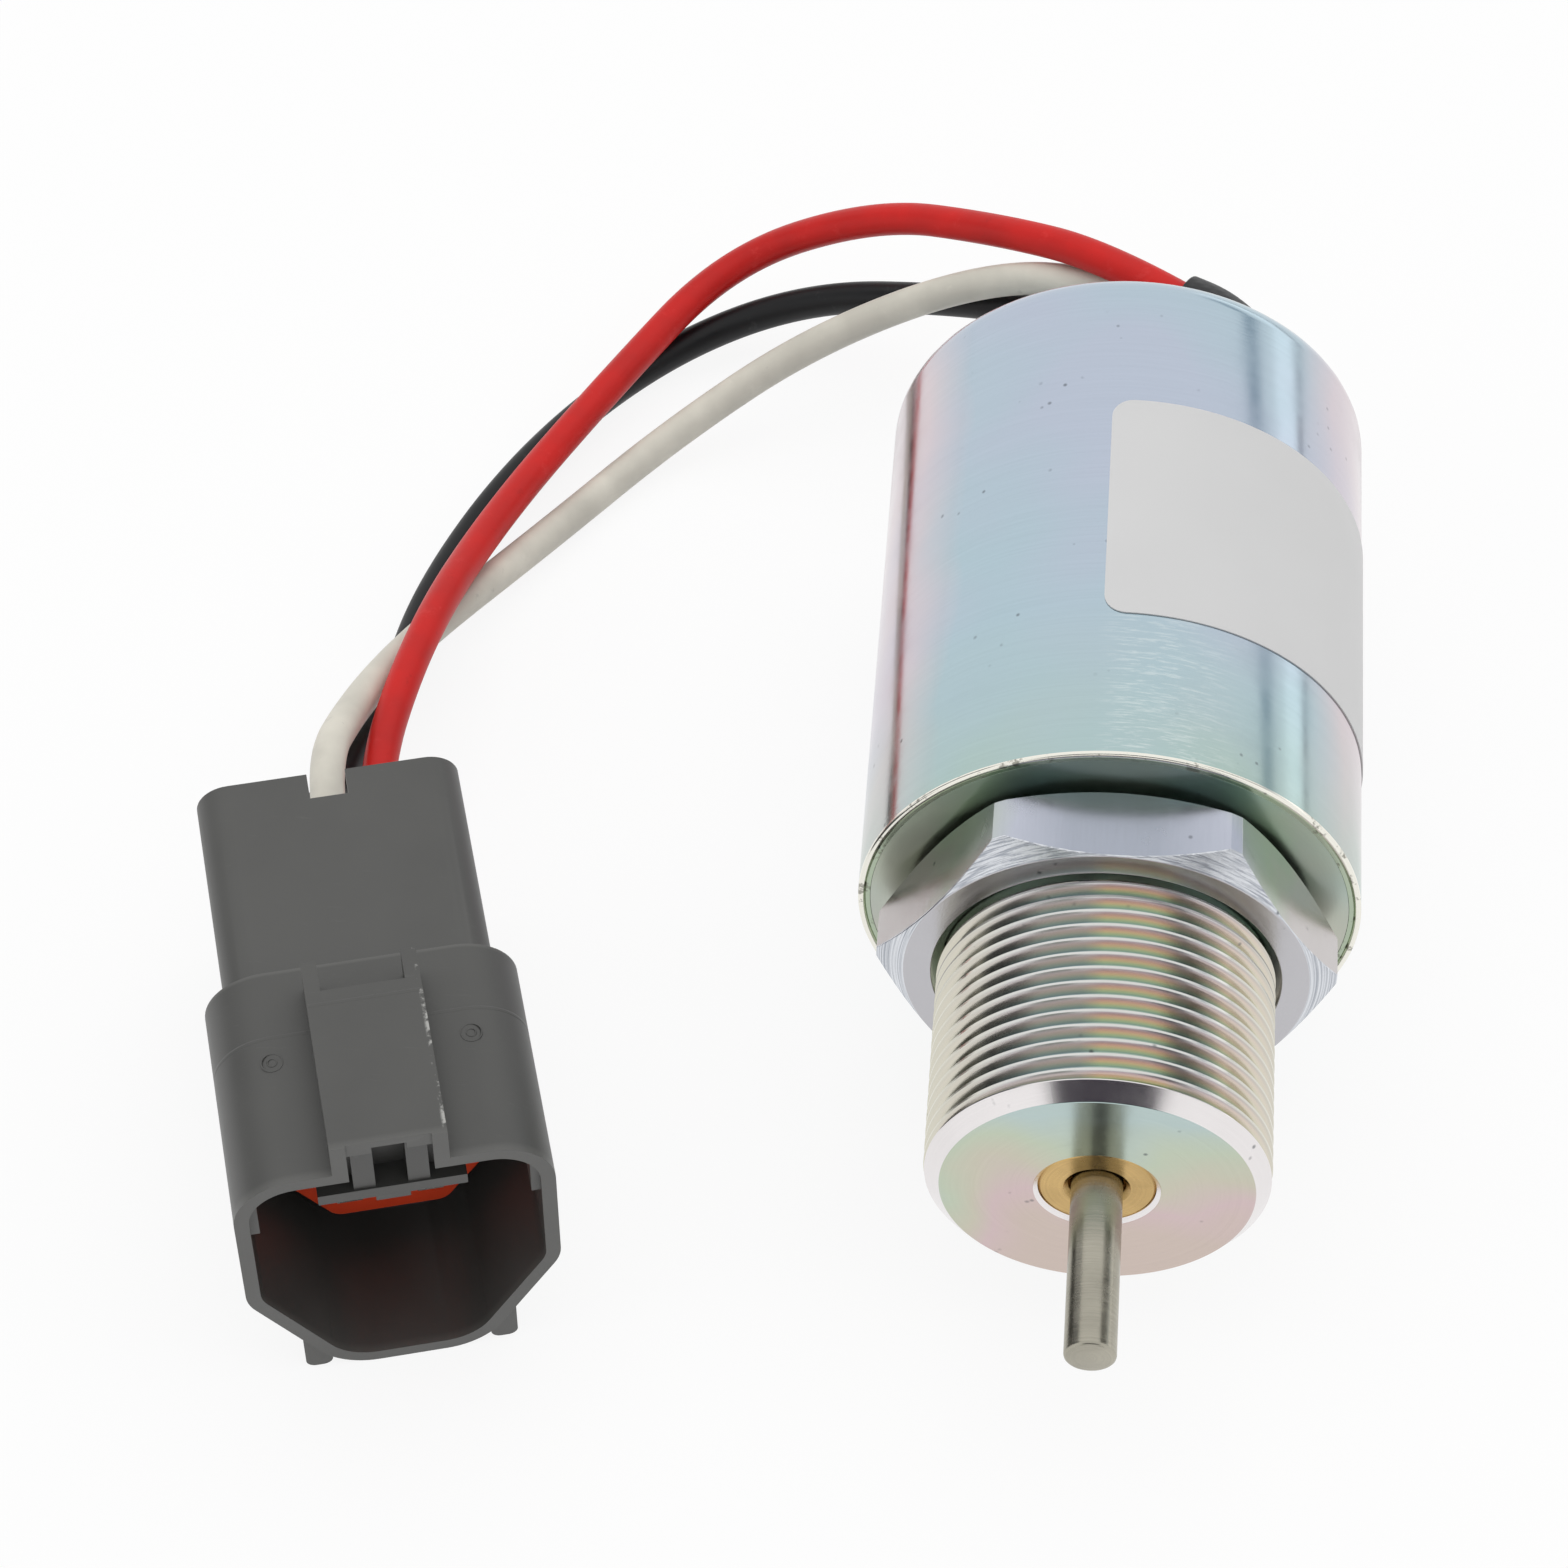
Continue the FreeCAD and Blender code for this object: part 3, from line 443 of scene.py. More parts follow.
def varnished_sleeving(tone):
    """Woven glass sleeving dipped in black varnish: a fine crossed weave about 0.5 mm wide, half filled."""
    material, node, place = start_material("varnished black sleeving")
    own = node("Mapping", {"Vector": place, "Rotation": (0.0, 0.0, 0.785)})
    warp, weft = (node("TexWave", {"Vector": own, "Scale": 1 / (0.5 * MM) / math.tau, "Distortion": 0.6,
                                   "Detail": 1.0}, out="Fac", bands_direction=way) for way in "XY")
    weave = node("Math", {0: warp, 1: weft}, operation="MULTIPLY")
    shade = node("ValToRGB", {"Fac": weave}, stops=((0.0, scaled(tone, 0.7)), (0.8, tone)))
    return end_material(material, node, [(weave, 0.35, 0.08)], {
        "Base Color": shade, "Roughness": 0.48, "IOR": 1.5})


def polyester_film(name, tone):
    """Matt polyester film: even and pale, with a very fine satin tooth."""
    material, node, place = start_material(name)
    shade = mottled(node, place, 16.6667, 2.0, ((0.3, scaled(tone, 0.96)), (0.7, tone)))
    tooth = node("TexNoise", {"Vector": place, "Scale": 1 / (0.28571 * MM), "Detail": 2.0})
    return end_material(material, node, [(tooth, 0.06, 0.02)], {
        "Base Color": shade, "Roughness": 0.42, "IOR": 1.57, "Specular IOR Level": 0.35})


def winding_copper():
    """Enamelled copper wire wound in close turns about 0.6 mm apart."""
    material, node, place = start_material("enamelled copper winding")
    turns = node("TexWave", {"Vector": place, "Scale": 1 / (0.6 * MM) / math.tau, "Distortion": 0.3},
                 out="Fac", bands_direction="Y")
    shade = node("ValToRGB", {"Fac": turns}, stops=((0.1, "#4A2010"), (0.5, "#B4693A")))
    return end_material(material, node, [(turns, 0.6, 0.2)], {
        "Base Color": shade, "Metallic": 1.0, "Roughness": 0.3})


def poured_resin(tone):
    """Cast epoxy potting resin: glossy, with a slightly sunken and cloudy surface."""
    material, node, place = start_material("black potting resin")
    shade = mottled(node, place, 8.3333, 4.0, ((0.4, tone), (0.7, scaled(tone, 1.8, 0.01))))
    sunken = node("TexNoise", {"Vector": place, "Scale": 1 / (4.1667 * MM), "Detail": 2.0})
    return end_material(material, node, [(sunken, 0.15, 0.3)], {
        "Base Color": shade, "Roughness": 0.22, "IOR": 1.55})


# Mesh helpers


def only(kind, geom):
    """The points, or the edges, among what an operator gives."""
    return [g for g in geom if isinstance(g, kind)]


def turned(profile, steps=192):
    """A mesh turned about the Y axis from a closed profile of (radius, y) points in millimetres."""
    mesh = bmesh.new()
    points = [mesh.verts.new((r * MM, y * MM, 0)) for r, y in profile]
    edges = [mesh.edges.new(pair) for pair in zip(points, points[1:] + points[:1])]
    bmesh.ops.spin(mesh, geom=points + edges, cent=(0, 0, 0), axis=(0, 1, 0), dvec=(0, 0, 0),
                   angle=math.tau, steps=steps, use_merge=True)
    bmesh.ops.remove_doubles(mesh, verts=mesh.verts, dist=1e-6)
    bmesh.ops.recalc_face_normals(mesh, faces=mesh.faces)
    return mesh


def on_ring(point, radius, y):
    return abs(math.hypot(point.x, point.z) - radius * MM) < 2e-6 and abs(point.y - y * MM) < 2e-6


def soften(mesh, radius, y, width, segments=3):
    """Rounds a turned edge at this radius and place, all in millimetres."""
    edges = [e for e in mesh.edges if all(on_ring(v.co, radius, y) for v in e.verts)]
    bmesh.ops.bevel(mesh, geom=edges, offset=width * MM, offset_type="OFFSET", affect="EDGES",
                    segments=segments, profile=0.5, material=-1, clamp_overlap=True)


def extruded(mesh, rim):
    """Extrudes an open rim in place, and returns its new points and the new rim."""
    made = bmesh.ops.extrude_edge_only(mesh, edges=rim)["geom"]
    return only(bmesh.types.BMVert, made), [e for e in only(bmesh.types.BMEdge, made) if e.is_boundary]


def moved_on(mesh, rim, way):
    """Extrudes an open rim along a vector, and returns the new rim."""
    verts, rim = extruded(mesh, rim)
    bmesh.ops.translate(mesh, verts=verts, vec=way)
    return rim


def turned_on(mesh, rim, profile):
    """Extrudes an open round rim through (radius, y) places in millimetres, and returns the new rim."""
    for radius, y in profile:
        verts, rim = extruded(mesh, rim)
        for vert in verts:
            share = radius * MM / math.hypot(vert.co.x, vert.co.z)
            vert.co = (vert.co.x * share, y * MM, vert.co.z * share)
    return rim


def cut_by(mesh, place, way, drop):
    """Cuts a mesh by a plane, drops what lies past it if told to, and returns the edges of the cut."""
    cut = bmesh.ops.bisect_plane(mesh, geom=mesh.verts[:] + mesh.edges[:] + mesh.faces[:], dist=1e-7,
                                 plane_co=place, plane_no=way, clear_outer=drop)
    return only(bmesh.types.BMEdge, cut["geom_cut"])


def mesh_data(name, mesh):
    """Mesh data from a bmesh, which is then freed."""
    data = bpy.data.meshes.new(name)
    mesh.to_mesh(data)
    mesh.free()
    return data


def new_object(name, data):
    obj = bpy.data.objects.new(name, data)
    bpy.context.scene.collection.objects.link(obj)
    return obj


def declare(obj, body, stands_for):
    """Tells the frame the piece's body and the solids that it stands for."""
    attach(obj, body)
    if stands_for:
        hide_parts(*stands_for)
    return obj


def finish_piece(name, mesh, material, body="solenoid", stands_for=(), sharp_deg=32.0):
    """Makes the object from a mesh whose place is already in it."""
    data = mesh_data(name, mesh)
    data.shade_smooth()
    data.set_sharp_from_angle(angle=math.radians(sharp_deg))
    data.materials.append(material)
    return declare(new_object(name, data), body, stands_for)


def round_edges(obj, width_mm, angle_deg=30.0):
    """A bevel that breaks every sharp edge."""
    modifier = obj.modifiers.new("edges", "BEVEL")
    modifier.width = width_mm * MM
    modifier.segments = 2
    modifier.limit_method = "ANGLE"
    modifier.angle_limit = math.radians(angle_deg)
    modifier.harden_normals = True
    modifier.use_clamp_overlap = True
    modifier.miter_outer = "MITER_SHARP"


def bore(obj, cutter):
    """Cuts a mesh out of a piece, and removes the cutter."""
    tool = new_object("cutter", mesh_data("cutter", cutter))
    modifier = obj.modifiers.new("bore", "BOOLEAN")
    modifier.operation = "DIFFERENCE"
    modifier.solver = "EXACT"
    modifier.object = tool
    shaped = obj.evaluated_get(bpy.context.evaluated_depsgraph_get())
    obj.data = bpy.data.meshes.new_from_object(shaped)
    obj.modifiers.clear()
    bpy.data.objects.remove(tool)


def merged_copy(node):
    """A joined-up copy of a solid's loose triangles, with its flat faces made whole."""
    mesh = bmesh.new()
    mesh.from_mesh(cad_nodes[node].data)
    bmesh.ops.remove_doubles(mesh, verts=mesh.verts, dist=2e-6)
    bmesh.ops.dissolve_limit(mesh, angle_limit=math.radians(0.8), verts=mesh.verts, edges=mesh.edges,
                             use_dissolve_boundaries=False, delimit={"NORMAL"})
    return mesh


# Pieces


class BuildCan(bpy.types.Operator):
    """Deep-drawn can with its rolled rim"""
    bl_idname = "solenoid.build_can"
    bl_label = "Can"

    def execute(self, context):
        inner, inner_end, rim, groove = can_radius - 1.0, can_length - 1.0, -0.2, 22.02
        mesh = turned([(21.42, -0.02), (21.8, -0.02), (21.92, 0.14), (groove, rim), (can_radius, rim),
                       (can_radius, can_length), (0.0, can_length), (0.0, inner_end),
                       (inner, inner_end), (inner, 0.1), (21.42, 0.02)], steps=256)
        soften(mesh, can_radius, can_length, 3.3, 8)
        soften(mesh, inner, inner_end, 2.3, 4)
        soften(mesh, can_radius, rim, 0.24, 4)
        soften(mesh, groove, rim, 0.06, 2)
        zinc = can_plating(tone_of("can"), tone_of("can_edge"))
        obj = finish_piece("can_shell", mesh, zinc, stands_for=["housing_can"])
        hole = turned([(0.0, 55.5), (4.8, 55.5), (4.8, 59.5), (0.0, 59.5)], steps=64)
        bmesh.ops.translate(hole, verts=hole.verts, vec=(lead_x * MM, 0, lead_z * MM))
        bore(obj, hole)
        return {"FINISHED"}


class BuildBase(bpy.types.Operator):
    """Flange and boss with its cut thread"""
    bl_idname = "solenoid.build_base"
    bl_label = "Threaded base"

    def execute(self, context):
        pitch, depth, flat = (size_of(f"thread_{part}") for part in ("pitch", "depth", "crest"))
        flank = depth * math.tan(math.radians(30))
        thread_start, turns, steps = -32.0, 19, 192
        thread_front, thread_back = -28.35, nut_front - 0.1
        mesh = bmesh.new()
        down = [(thread_radius - depth * k / 4, flank * k / 4) for k in (1, 2, 3, 4)]
        profile = []
        for i in range(turns):
            start = thread_start + i * pitch
            profile += [(thread_radius, start), (thread_radius, start + flat)]
            profile += [(radius, start + flat + along) for radius, along in down]
            profile += [(radius, start + pitch - along) for radius, along in reversed(down)]
        points = [mesh.verts.new((r * MM, y * MM, 0)) for r, y in profile]
        edges = [mesh.edges.new(pair) for pair in zip(points, points[1:])]
        bmesh.ops.spin(mesh, geom=points + edges, cent=(0, 0, 0), axis=(0, 1, 0),
                       dvec=(0, pitch * MM / steps, 0), angle=math.tau, steps=steps)
        bmesh.ops.remove_doubles(mesh, verts=mesh.verts, dist=4e-6)
        rim = turned_on(mesh, cut_by(mesh, (0, thread_front * MM, 0), (0, -1, 0), True), (
            (14.4, -28.45), (14.4, -28.55), (14.92, -28.74), (14.9, -28.82), (13.55, -30.17),
            (13.47, boss_front), (5.55, boss_front), (5.1, -29.8), (5.1, -23.5), (8.12, -23.5),
            (8.12, 4.5)))
        back = cut_by(mesh, (0, thread_back * MM, 0), (0, 1, 0), False)
        middles = ((face, face.calc_center_median()) for face in mesh.faces)
        behind = [face for face, middle in middles
                  if middle.y > thread_back * MM and math.hypot(middle.x, middle.z) > 13.9 * MM]
        bmesh.ops.delete(mesh, geom=behind, context="FACES")
        flange = turned_on(mesh, [e for e in back if e.is_valid and e.is_boundary], (
            (14.51, nut_front), (14.51, 0.0), (21.38, 0.0), (21.45, 0.07), (21.45, 4.5)))
        bmesh.ops.bridge_loops(mesh, edges=rim + flange)
        bmesh.ops.recalc_face_normals(mesh, faces=mesh.faces)
        finish_piece("base_thread", mesh, base_plating(tone_of("flange"), depth),
                     stands_for=["threaded_base"], sharp_deg=16.0)
        return {"FINISHED"}


class BuildNut(bpy.types.Operator):
    """Hexagonal lock nut, chamfered at both faces"""
    bl_idname = "solenoid.build_nut"
    bl_label = "Lock nut"

    def execute(self, context):
        corner, half_flats, thread_bore = 20.45, 18.0, 14.58
        fall = (corner - nut_face_radius) * math.tan(math.radians(30))
        mesh = turned([
            (15.55, nut_front), (nut_face_radius, nut_front), (corner, nut_front + fall),
            (corner, nut_back - fall), (nut_face_radius, nut_back), (15.31, nut_back),
            (thread_bore, -1.53), (thread_bore, -6.8)])
        for i in range(6):
            turn = math.radians(60 * i + 30)
            way = Vector((math.cos(turn), 0, math.sin(turn)))
            bmesh.ops.contextual_create(mesh, geom=cut_by(mesh, way * half_flats * MM, way, True))
        bmesh.ops.recalc_face_normals(mesh, faces=mesh.faces)
        obj = finish_piece("hex_nut", mesh, nut_plating(tone_of("nut")),
                           body="lock_nut", stands_for=["lock_nut"], sharp_deg=20.0)
        round_edges(obj, size_of("nut_edge"), 20.0)
        return {"FINISHED"}


class BuildPlunger(bpy.types.Operator):
    """Plunger rod and the brass bush that guides it"""
    bl_idname = "solenoid.build_plunger"
    bl_label = "Plunger rod and bush"

    def execute(self, context):
        rod_radius, tip, rod_end = 2.25, -46.8, 3.4
        rod = turned([(0.0, tip), (rod_radius, tip), (rod_radius, rod_end), (0.0, rod_end)], steps=96)
        soften(rod, rod_radius, tip, 0.36)
        steel = turned_metal("turned steel rod", tone_of("rod"), 0.22, 0.12)
        finish_piece("push_rod", rod, steel, body="plunger", stands_for=["plunger_rod"])
        bush = turned([
            (2.9, -29.85), (4.86, -29.85), (5.08, -29.63), (5.08, -23.5), (2.32, -23.5), (2.32, -27.85),
            (2.5, -27.85), (2.5, -29.45)], steps=128)
        brass = turned_metal("turned brass bush", tone_of("bush"), 0.24, 0.15, 0.3)
        finish_piece("guide_sleeve", bush, brass, stands_for=["guide_bush"])
        return {"FINISHED"}


class BuildSpring(bpy.types.Operator):
    """Return spring with ground ends"""
    bl_idname = "solenoid.build_spring"
    bl_label = "Return spring"

    def execute(self, context):
        start, end, turns, steps = 5.8, 33.5, 7.5, 270
        coil_radius, wire_radius = 3.9, 0.4
        mesh = bmesh.new()
        ring = bmesh.ops.create_circle(mesh, cap_ends=False, radius=wire_radius * MM, segments=10)["verts"]
        bmesh.ops.translate(mesh, verts=ring, vec=(coil_radius * MM, start * MM, 0))
        bmesh.ops.spin(mesh, geom=mesh.verts[:] + mesh.edges[:], cent=(0, 0, 0), axis=(0, 1, 0),
                       dvec=(0, (end - start) * MM / steps, 0), angle=math.tau * turns, steps=steps)
        bmesh.ops.holes_fill(mesh, edges=[e for e in mesh.edges if e.is_boundary])
        bmesh.ops.recalc_face_normals(mesh, faces=mesh.faces)
        steel = turned_metal("drawn spring steel", "#8F9296", 0.28, 0.2)
        obj = finish_piece("coil_spring", mesh, steel, stands_for=["return_spring"])
        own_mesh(obj)
        return {"FINISHED"}


class BuildOutlet(bpy.types.Operator):
    """Rubber grommet and the sleeve that holds the leads together"""
    bl_idname = "solenoid.build_outlet"
    bl_label = "Grommet and sleeve"

    def execute(self, context):
        self.make_grommet()
        self.make_sleeve()
        return {"FINISHED"}

    def make_grommet(self):
        mesh = turned([
            (4.15, sleeve_start), (6.3, sleeve_start), (6.3, 56.95), (4.75, 56.95), (4.75, 58.05),
            (6.3, 58.05), (6.3, 59.05), (5.8, 59.55), (5.2, 59.55), (4.675, 61.95), (4.15, 61.95)],
            steps=96)
        bmesh.ops.translate(mesh, verts=mesh.verts, vec=(lead_x * MM, 0, lead_z * MM))
        rubber = soft_rubber("moulded rubber grommet", "#161616")
        obj = finish_piece("lead_bushing", mesh, rubber, stands_for=["lead_grommet"])
        round_edges(obj, 0.2)

    def make_sleeve(self):
        """Straight out of the grommet, then round a bend, with an open mouth where the leads leave it."""
        radius, straight_end, bend_radius, wall = 4.1, 64.5, 9.0, 0.35
        mesh = bmesh.new()
        ring = bmesh.ops.create_circle(mesh, cap_ends=False, radius=radius * MM, segments=64)["verts"]
        bmesh.ops.rotate(mesh, verts=ring, cent=(0, 0, 0), matrix=Matrix.Rotation(math.radians(90), 3, "X"))
        bmesh.ops.translate(mesh, verts=ring, vec=(lead_x * MM, sleeve_start * MM, lead_z * MM))
        bmesh.ops.contextual_create(mesh, geom=mesh.edges[:])
        rim = mesh.edges[:]
        for step in range(6):
            rim = moved_on(mesh, rim, (0, (straight_end - sleeve_start) * MM / 6, 0))
        turn = math.radians(64)
        verts = list(dict.fromkeys(v for e in rim for v in e.verts))
        bend = bmesh.ops.spin(mesh, geom=verts + rim, axis=(0, 0, 1), dvec=(0, 0, 0), angle=turn, steps=24,
                              cent=((lead_x - bend_radius) * MM, straight_end * MM, 0))["geom_last"]
        way = Vector((-math.sin(turn), math.cos(turn), 0))
        rim = moved_on(mesh, only(bmesh.types.BMEdge, bend), way * 1.5 * MM)
        mouth = Vector((4.597, 73.247, 0.5)) * MM
        verts, rim = extruded(mesh, rim)
        for vert in verts:
            vert.co = mouth + (vert.co - mouth) * (1 - wall / radius)
        rim = moved_on(mesh, rim, way * -1.2 * MM)
        bmesh.ops.holes_fill(mesh, edges=rim)
        bmesh.ops.recalc_face_normals(mesh, faces=mesh.faces)
        obj = finish_piece("lead_tube", mesh, varnished_sleeving("#17181A"),
                           stands_for=["lead_sleeve"])
        round_edges(obj, 0.12, 50.0)


class BuildLabel(bpy.types.Operator):
    """Bare label wrapped round the can"""
    bl_idname = "solenoid.build_label"
    bl_label = "Label"

    def execute(self, context):
        radius, front, back, corner, film, cuts = can_radius + 0.02, 15.7, 41.0, 2.0, 0.12, 96
        low, high = (math.radians(a) * radius for a in (-5.5, 112.0))
        mesh = bmesh.new()
        corners = [mesh.verts.new((u * MM, y * MM, 0)) for u, y in
                   ((low, front), (high, front), (high, back), (low, back))]
        mesh.faces.new(corners)
        bmesh.ops.bevel(mesh, geom=corners, offset=corner * MM, offset_type="OFFSET", affect="VERTICES",
                        segments=8, profile=0.5, material=-1)
        for i in range(1, cuts):
            cut_by(mesh, ((low + (high - low) * i / cuts) * MM, 0, 0), (1, 0, 0), False)
        for vert in mesh.verts:
            turn = vert.co.x / (radius * MM)
            vert.co = (radius * MM * math.sin(turn), vert.co.y, radius * MM * math.cos(turn))
        bmesh.ops.recalc_face_normals(mesh, faces=mesh.faces)
        if sum(f.normal.dot(f.calc_center_median() * Vector((1, 0, 1))) for f in mesh.faces) < 0:
            bmesh.ops.reverse_faces(mesh, faces=mesh.faces)
        bmesh.ops.solidify(mesh, geom=mesh.faces[:], thickness=-film * MM)
        finish_piece("blank_label", mesh, polyester_film("pale label film", tone_of("label")),
                     stands_for=["rating_label"], sharp_deg=50.0)
        return {"FINISHED"}


class BuildConnector(bpy.types.Operator):
    """Moulded connector housing and its front retainer"""
    bl_idname = "solenoid.build_connector"
    bl_label = "Connector"

    def execute(self, context):
        nylon = moulded_nylon("gray glass-filled nylon housing", tone_of("housing"), 0.45, flash=0.8)
        orange = moulded_nylon("orange polyester retainer", tone_of("retainer"), 0.4)
        for name, node, material, slot, edge in (
                ("connector_body", "connector_housing", nylon, "connector_gray", size_of("moulded_edge")),
                ("retainer_clip", "front_retainer", orange, "retainer_orange", 0.15)):
            obj = finish_piece(name, merged_copy(node), material, stands_for=[node], sharp_deg=25.0)
            round_edges(obj, edge, 28.0)
        for side, u in (("left", -8.6), ("right", 8.6)):
            self.make_ejector_mark(f"ejector_mark_{side}", u, 12.4, nylon)
        return {"FINISHED"}

    def make_ejector_mark(self, name, u, v, nylon):
        """The ring that an ejector pin leaves: 2 mm across, a few hundredths of a millimetre proud."""
        top = 30.2
        mark = turned([(0.82, -0.04), (1.0, -0.04), (0.95, 0.035), (0.87, 0.035)], steps=48)
        dimple = mesh_data("dimple", turned(
            [(0.3, -0.04), (0.5, -0.04), (0.44, 0.04), (0.36, 0.04)], steps=32))
        mark.from_mesh(dimple)
        bpy.data.meshes.remove(dimple)
        turn = Matrix.Translation(connector_at) @ Matrix.Rotation(connector_turn, 4, "Z")
        upright = Matrix.Rotation(math.radians(90), 4, "X")
        place = turn @ Matrix.Translation(Vector((u, v, top)) * MM) @ upright
        bmesh.ops.transform(mark, matrix=place, verts=mark.verts)
        finish_piece(name, mark, nylon)


class BuildLeads(bpy.types.Operator):
    """The three leads, each from the sleeve's mouth to its seal in the connector"""
    bl_idname = "solenoid.build_leads"
    bl_label = "Leads"

    def execute(self, context):
        carried = [bpy.data.objects[name] for name in (
            "connector_body", "retainer_clip", "ejector_mark_left", "ejector_mark_right")]
        carried += [cad_nodes[f"terminal_{way}"] for way in (1, 2, 3)]
        self.make_lead("red", 0.1510, "wire_seal_3", [], (
            (5.676, 72.721, 2.55), (-3.0, 77.5, 3.8), (-14.0, 84.0, 0.2), (-26.5, 91.0, -5.5),
            (-42.0, 92.0, -14.5), (-53.0, 76.5, -18.0), (-62.5, 57.5, -17.4), (-67.5, 36.0, -11.2),
            (-70.0, 16.05, -11.5), (-66.64, 3.49, -11.5)))
        self.make_lead("black", 0.1499, "wire_seal_1", [], (
            (4.898, 71.125, -0.525), (-5.5, 75.5, -3.0), (-17.0, 81.5, -7.6), (-33.0, 87.5, -14.5),
            (-48.0, 84.5, -20.8), (-60.5, 69.0, -20.8), (-68.5, 50.5, -20.8), (-70.4, 34.5, -19.0),
            (-72.8, 20.5, -13.2), (-75.79, 9.835, -11.5), (-73.59, 1.62, -11.5)))
        self.make_lead("white", 0.1387, "wire_seal_2", carried, (
            (6.454, 74.317, -0.525), (-3.5, 77.9, 0.0), (-15.5, 79.3, -2.0), (-32.0, 78.5, -11.5),
            (-46.0, 72.5, -20.2), (-58.0, 57.5, -20.8), (-68.5, 40.0, -16.4), (-72.5, 28.0, -11.9),
            (-74.06, 14.96, -6.0), (-70.11, 2.56, -6.0)))
        return {"FINISHED"}

    def make_lead(self, hue, real_length, seal, carried, route):
        """A smooth curve on the route's points."""
        data = bpy.data.curves.new(f"wire_{hue}_lead", "CURVE")
        data.dimensions = "3D"
        spline = data.splines.new("NURBS")
        spline.points.add(len(route) - 1)
        for point, place in zip(spline.points, route):
            point.co = (place[0] * MM, place[1] * MM, place[2] * MM, 1)
        spline.order_u = 3
        spline.use_endpoint_u = True
        spline.resolution_u = 16
        data.bevel_depth = size_of("lead_diameter") * MM / 2
        data.bevel_resolution = 7
        data.use_fill_caps = True
        data.materials.append(wire_insulation(f"{hue} lead insulation", tone_of(f"{hue}_lead")))
        obj = declare(new_object(f"wire_{hue}_lead", data), "solenoid",
                      [f"wire_{hue}"])


class FinishInside(bpy.types.Operator):
    """Materials of the pieces inside the can and the connector"""
    bl_idname = "solenoid.finish_inside"
    bl_label = "Inside pieces"

    def execute(self, context):
        iron = turned_metal("turned soft iron", "#A0A3A6", 0.32, 0.2)
        copper = winding_copper()
        tin = turned_metal("bright tin-plated copper", "#D2D2CC", 0.24, 0.3, 0.1, 0.3)
        seal = soft_rubber("silicone wire seal", "#733026", 0.45)
        finishes = {
            "armature": iron, "fixed_core": iron, "pole_plate": iron,
            "stop_washer": soft_rubber("nitrile stop washer", "#1A1A1A"),
            "guide_tube": turned_metal("drawn brass tube", "#CFAE6A", 0.28, 0.3, 0.1),
            "coil_bobbin": moulded_nylon("natural nylon bobbin", "#D4CFBC", 0.4),
            "pull_in_winding": copper, "hold_in_winding": copper,
            "winding_wrap": polyester_film("amber winding tape", "#B8932F"),
            "rear_potting": poured_resin("#121214"),
            "lead_splices": tin,
            "terminal_1": tin, "terminal_2": tin, "terminal_3": tin,
            "wire_seal_1": seal, "wire_seal_2": seal, "wire_seal_3": seal,
        }
        for node, material in finishes.items():
            data = cad_nodes[node].data
            if not data.materials:
                data.materials.append(material)
            for slot in cad_nodes[node].material_slots:
                slot.material = material
        return {"FINISHED"}


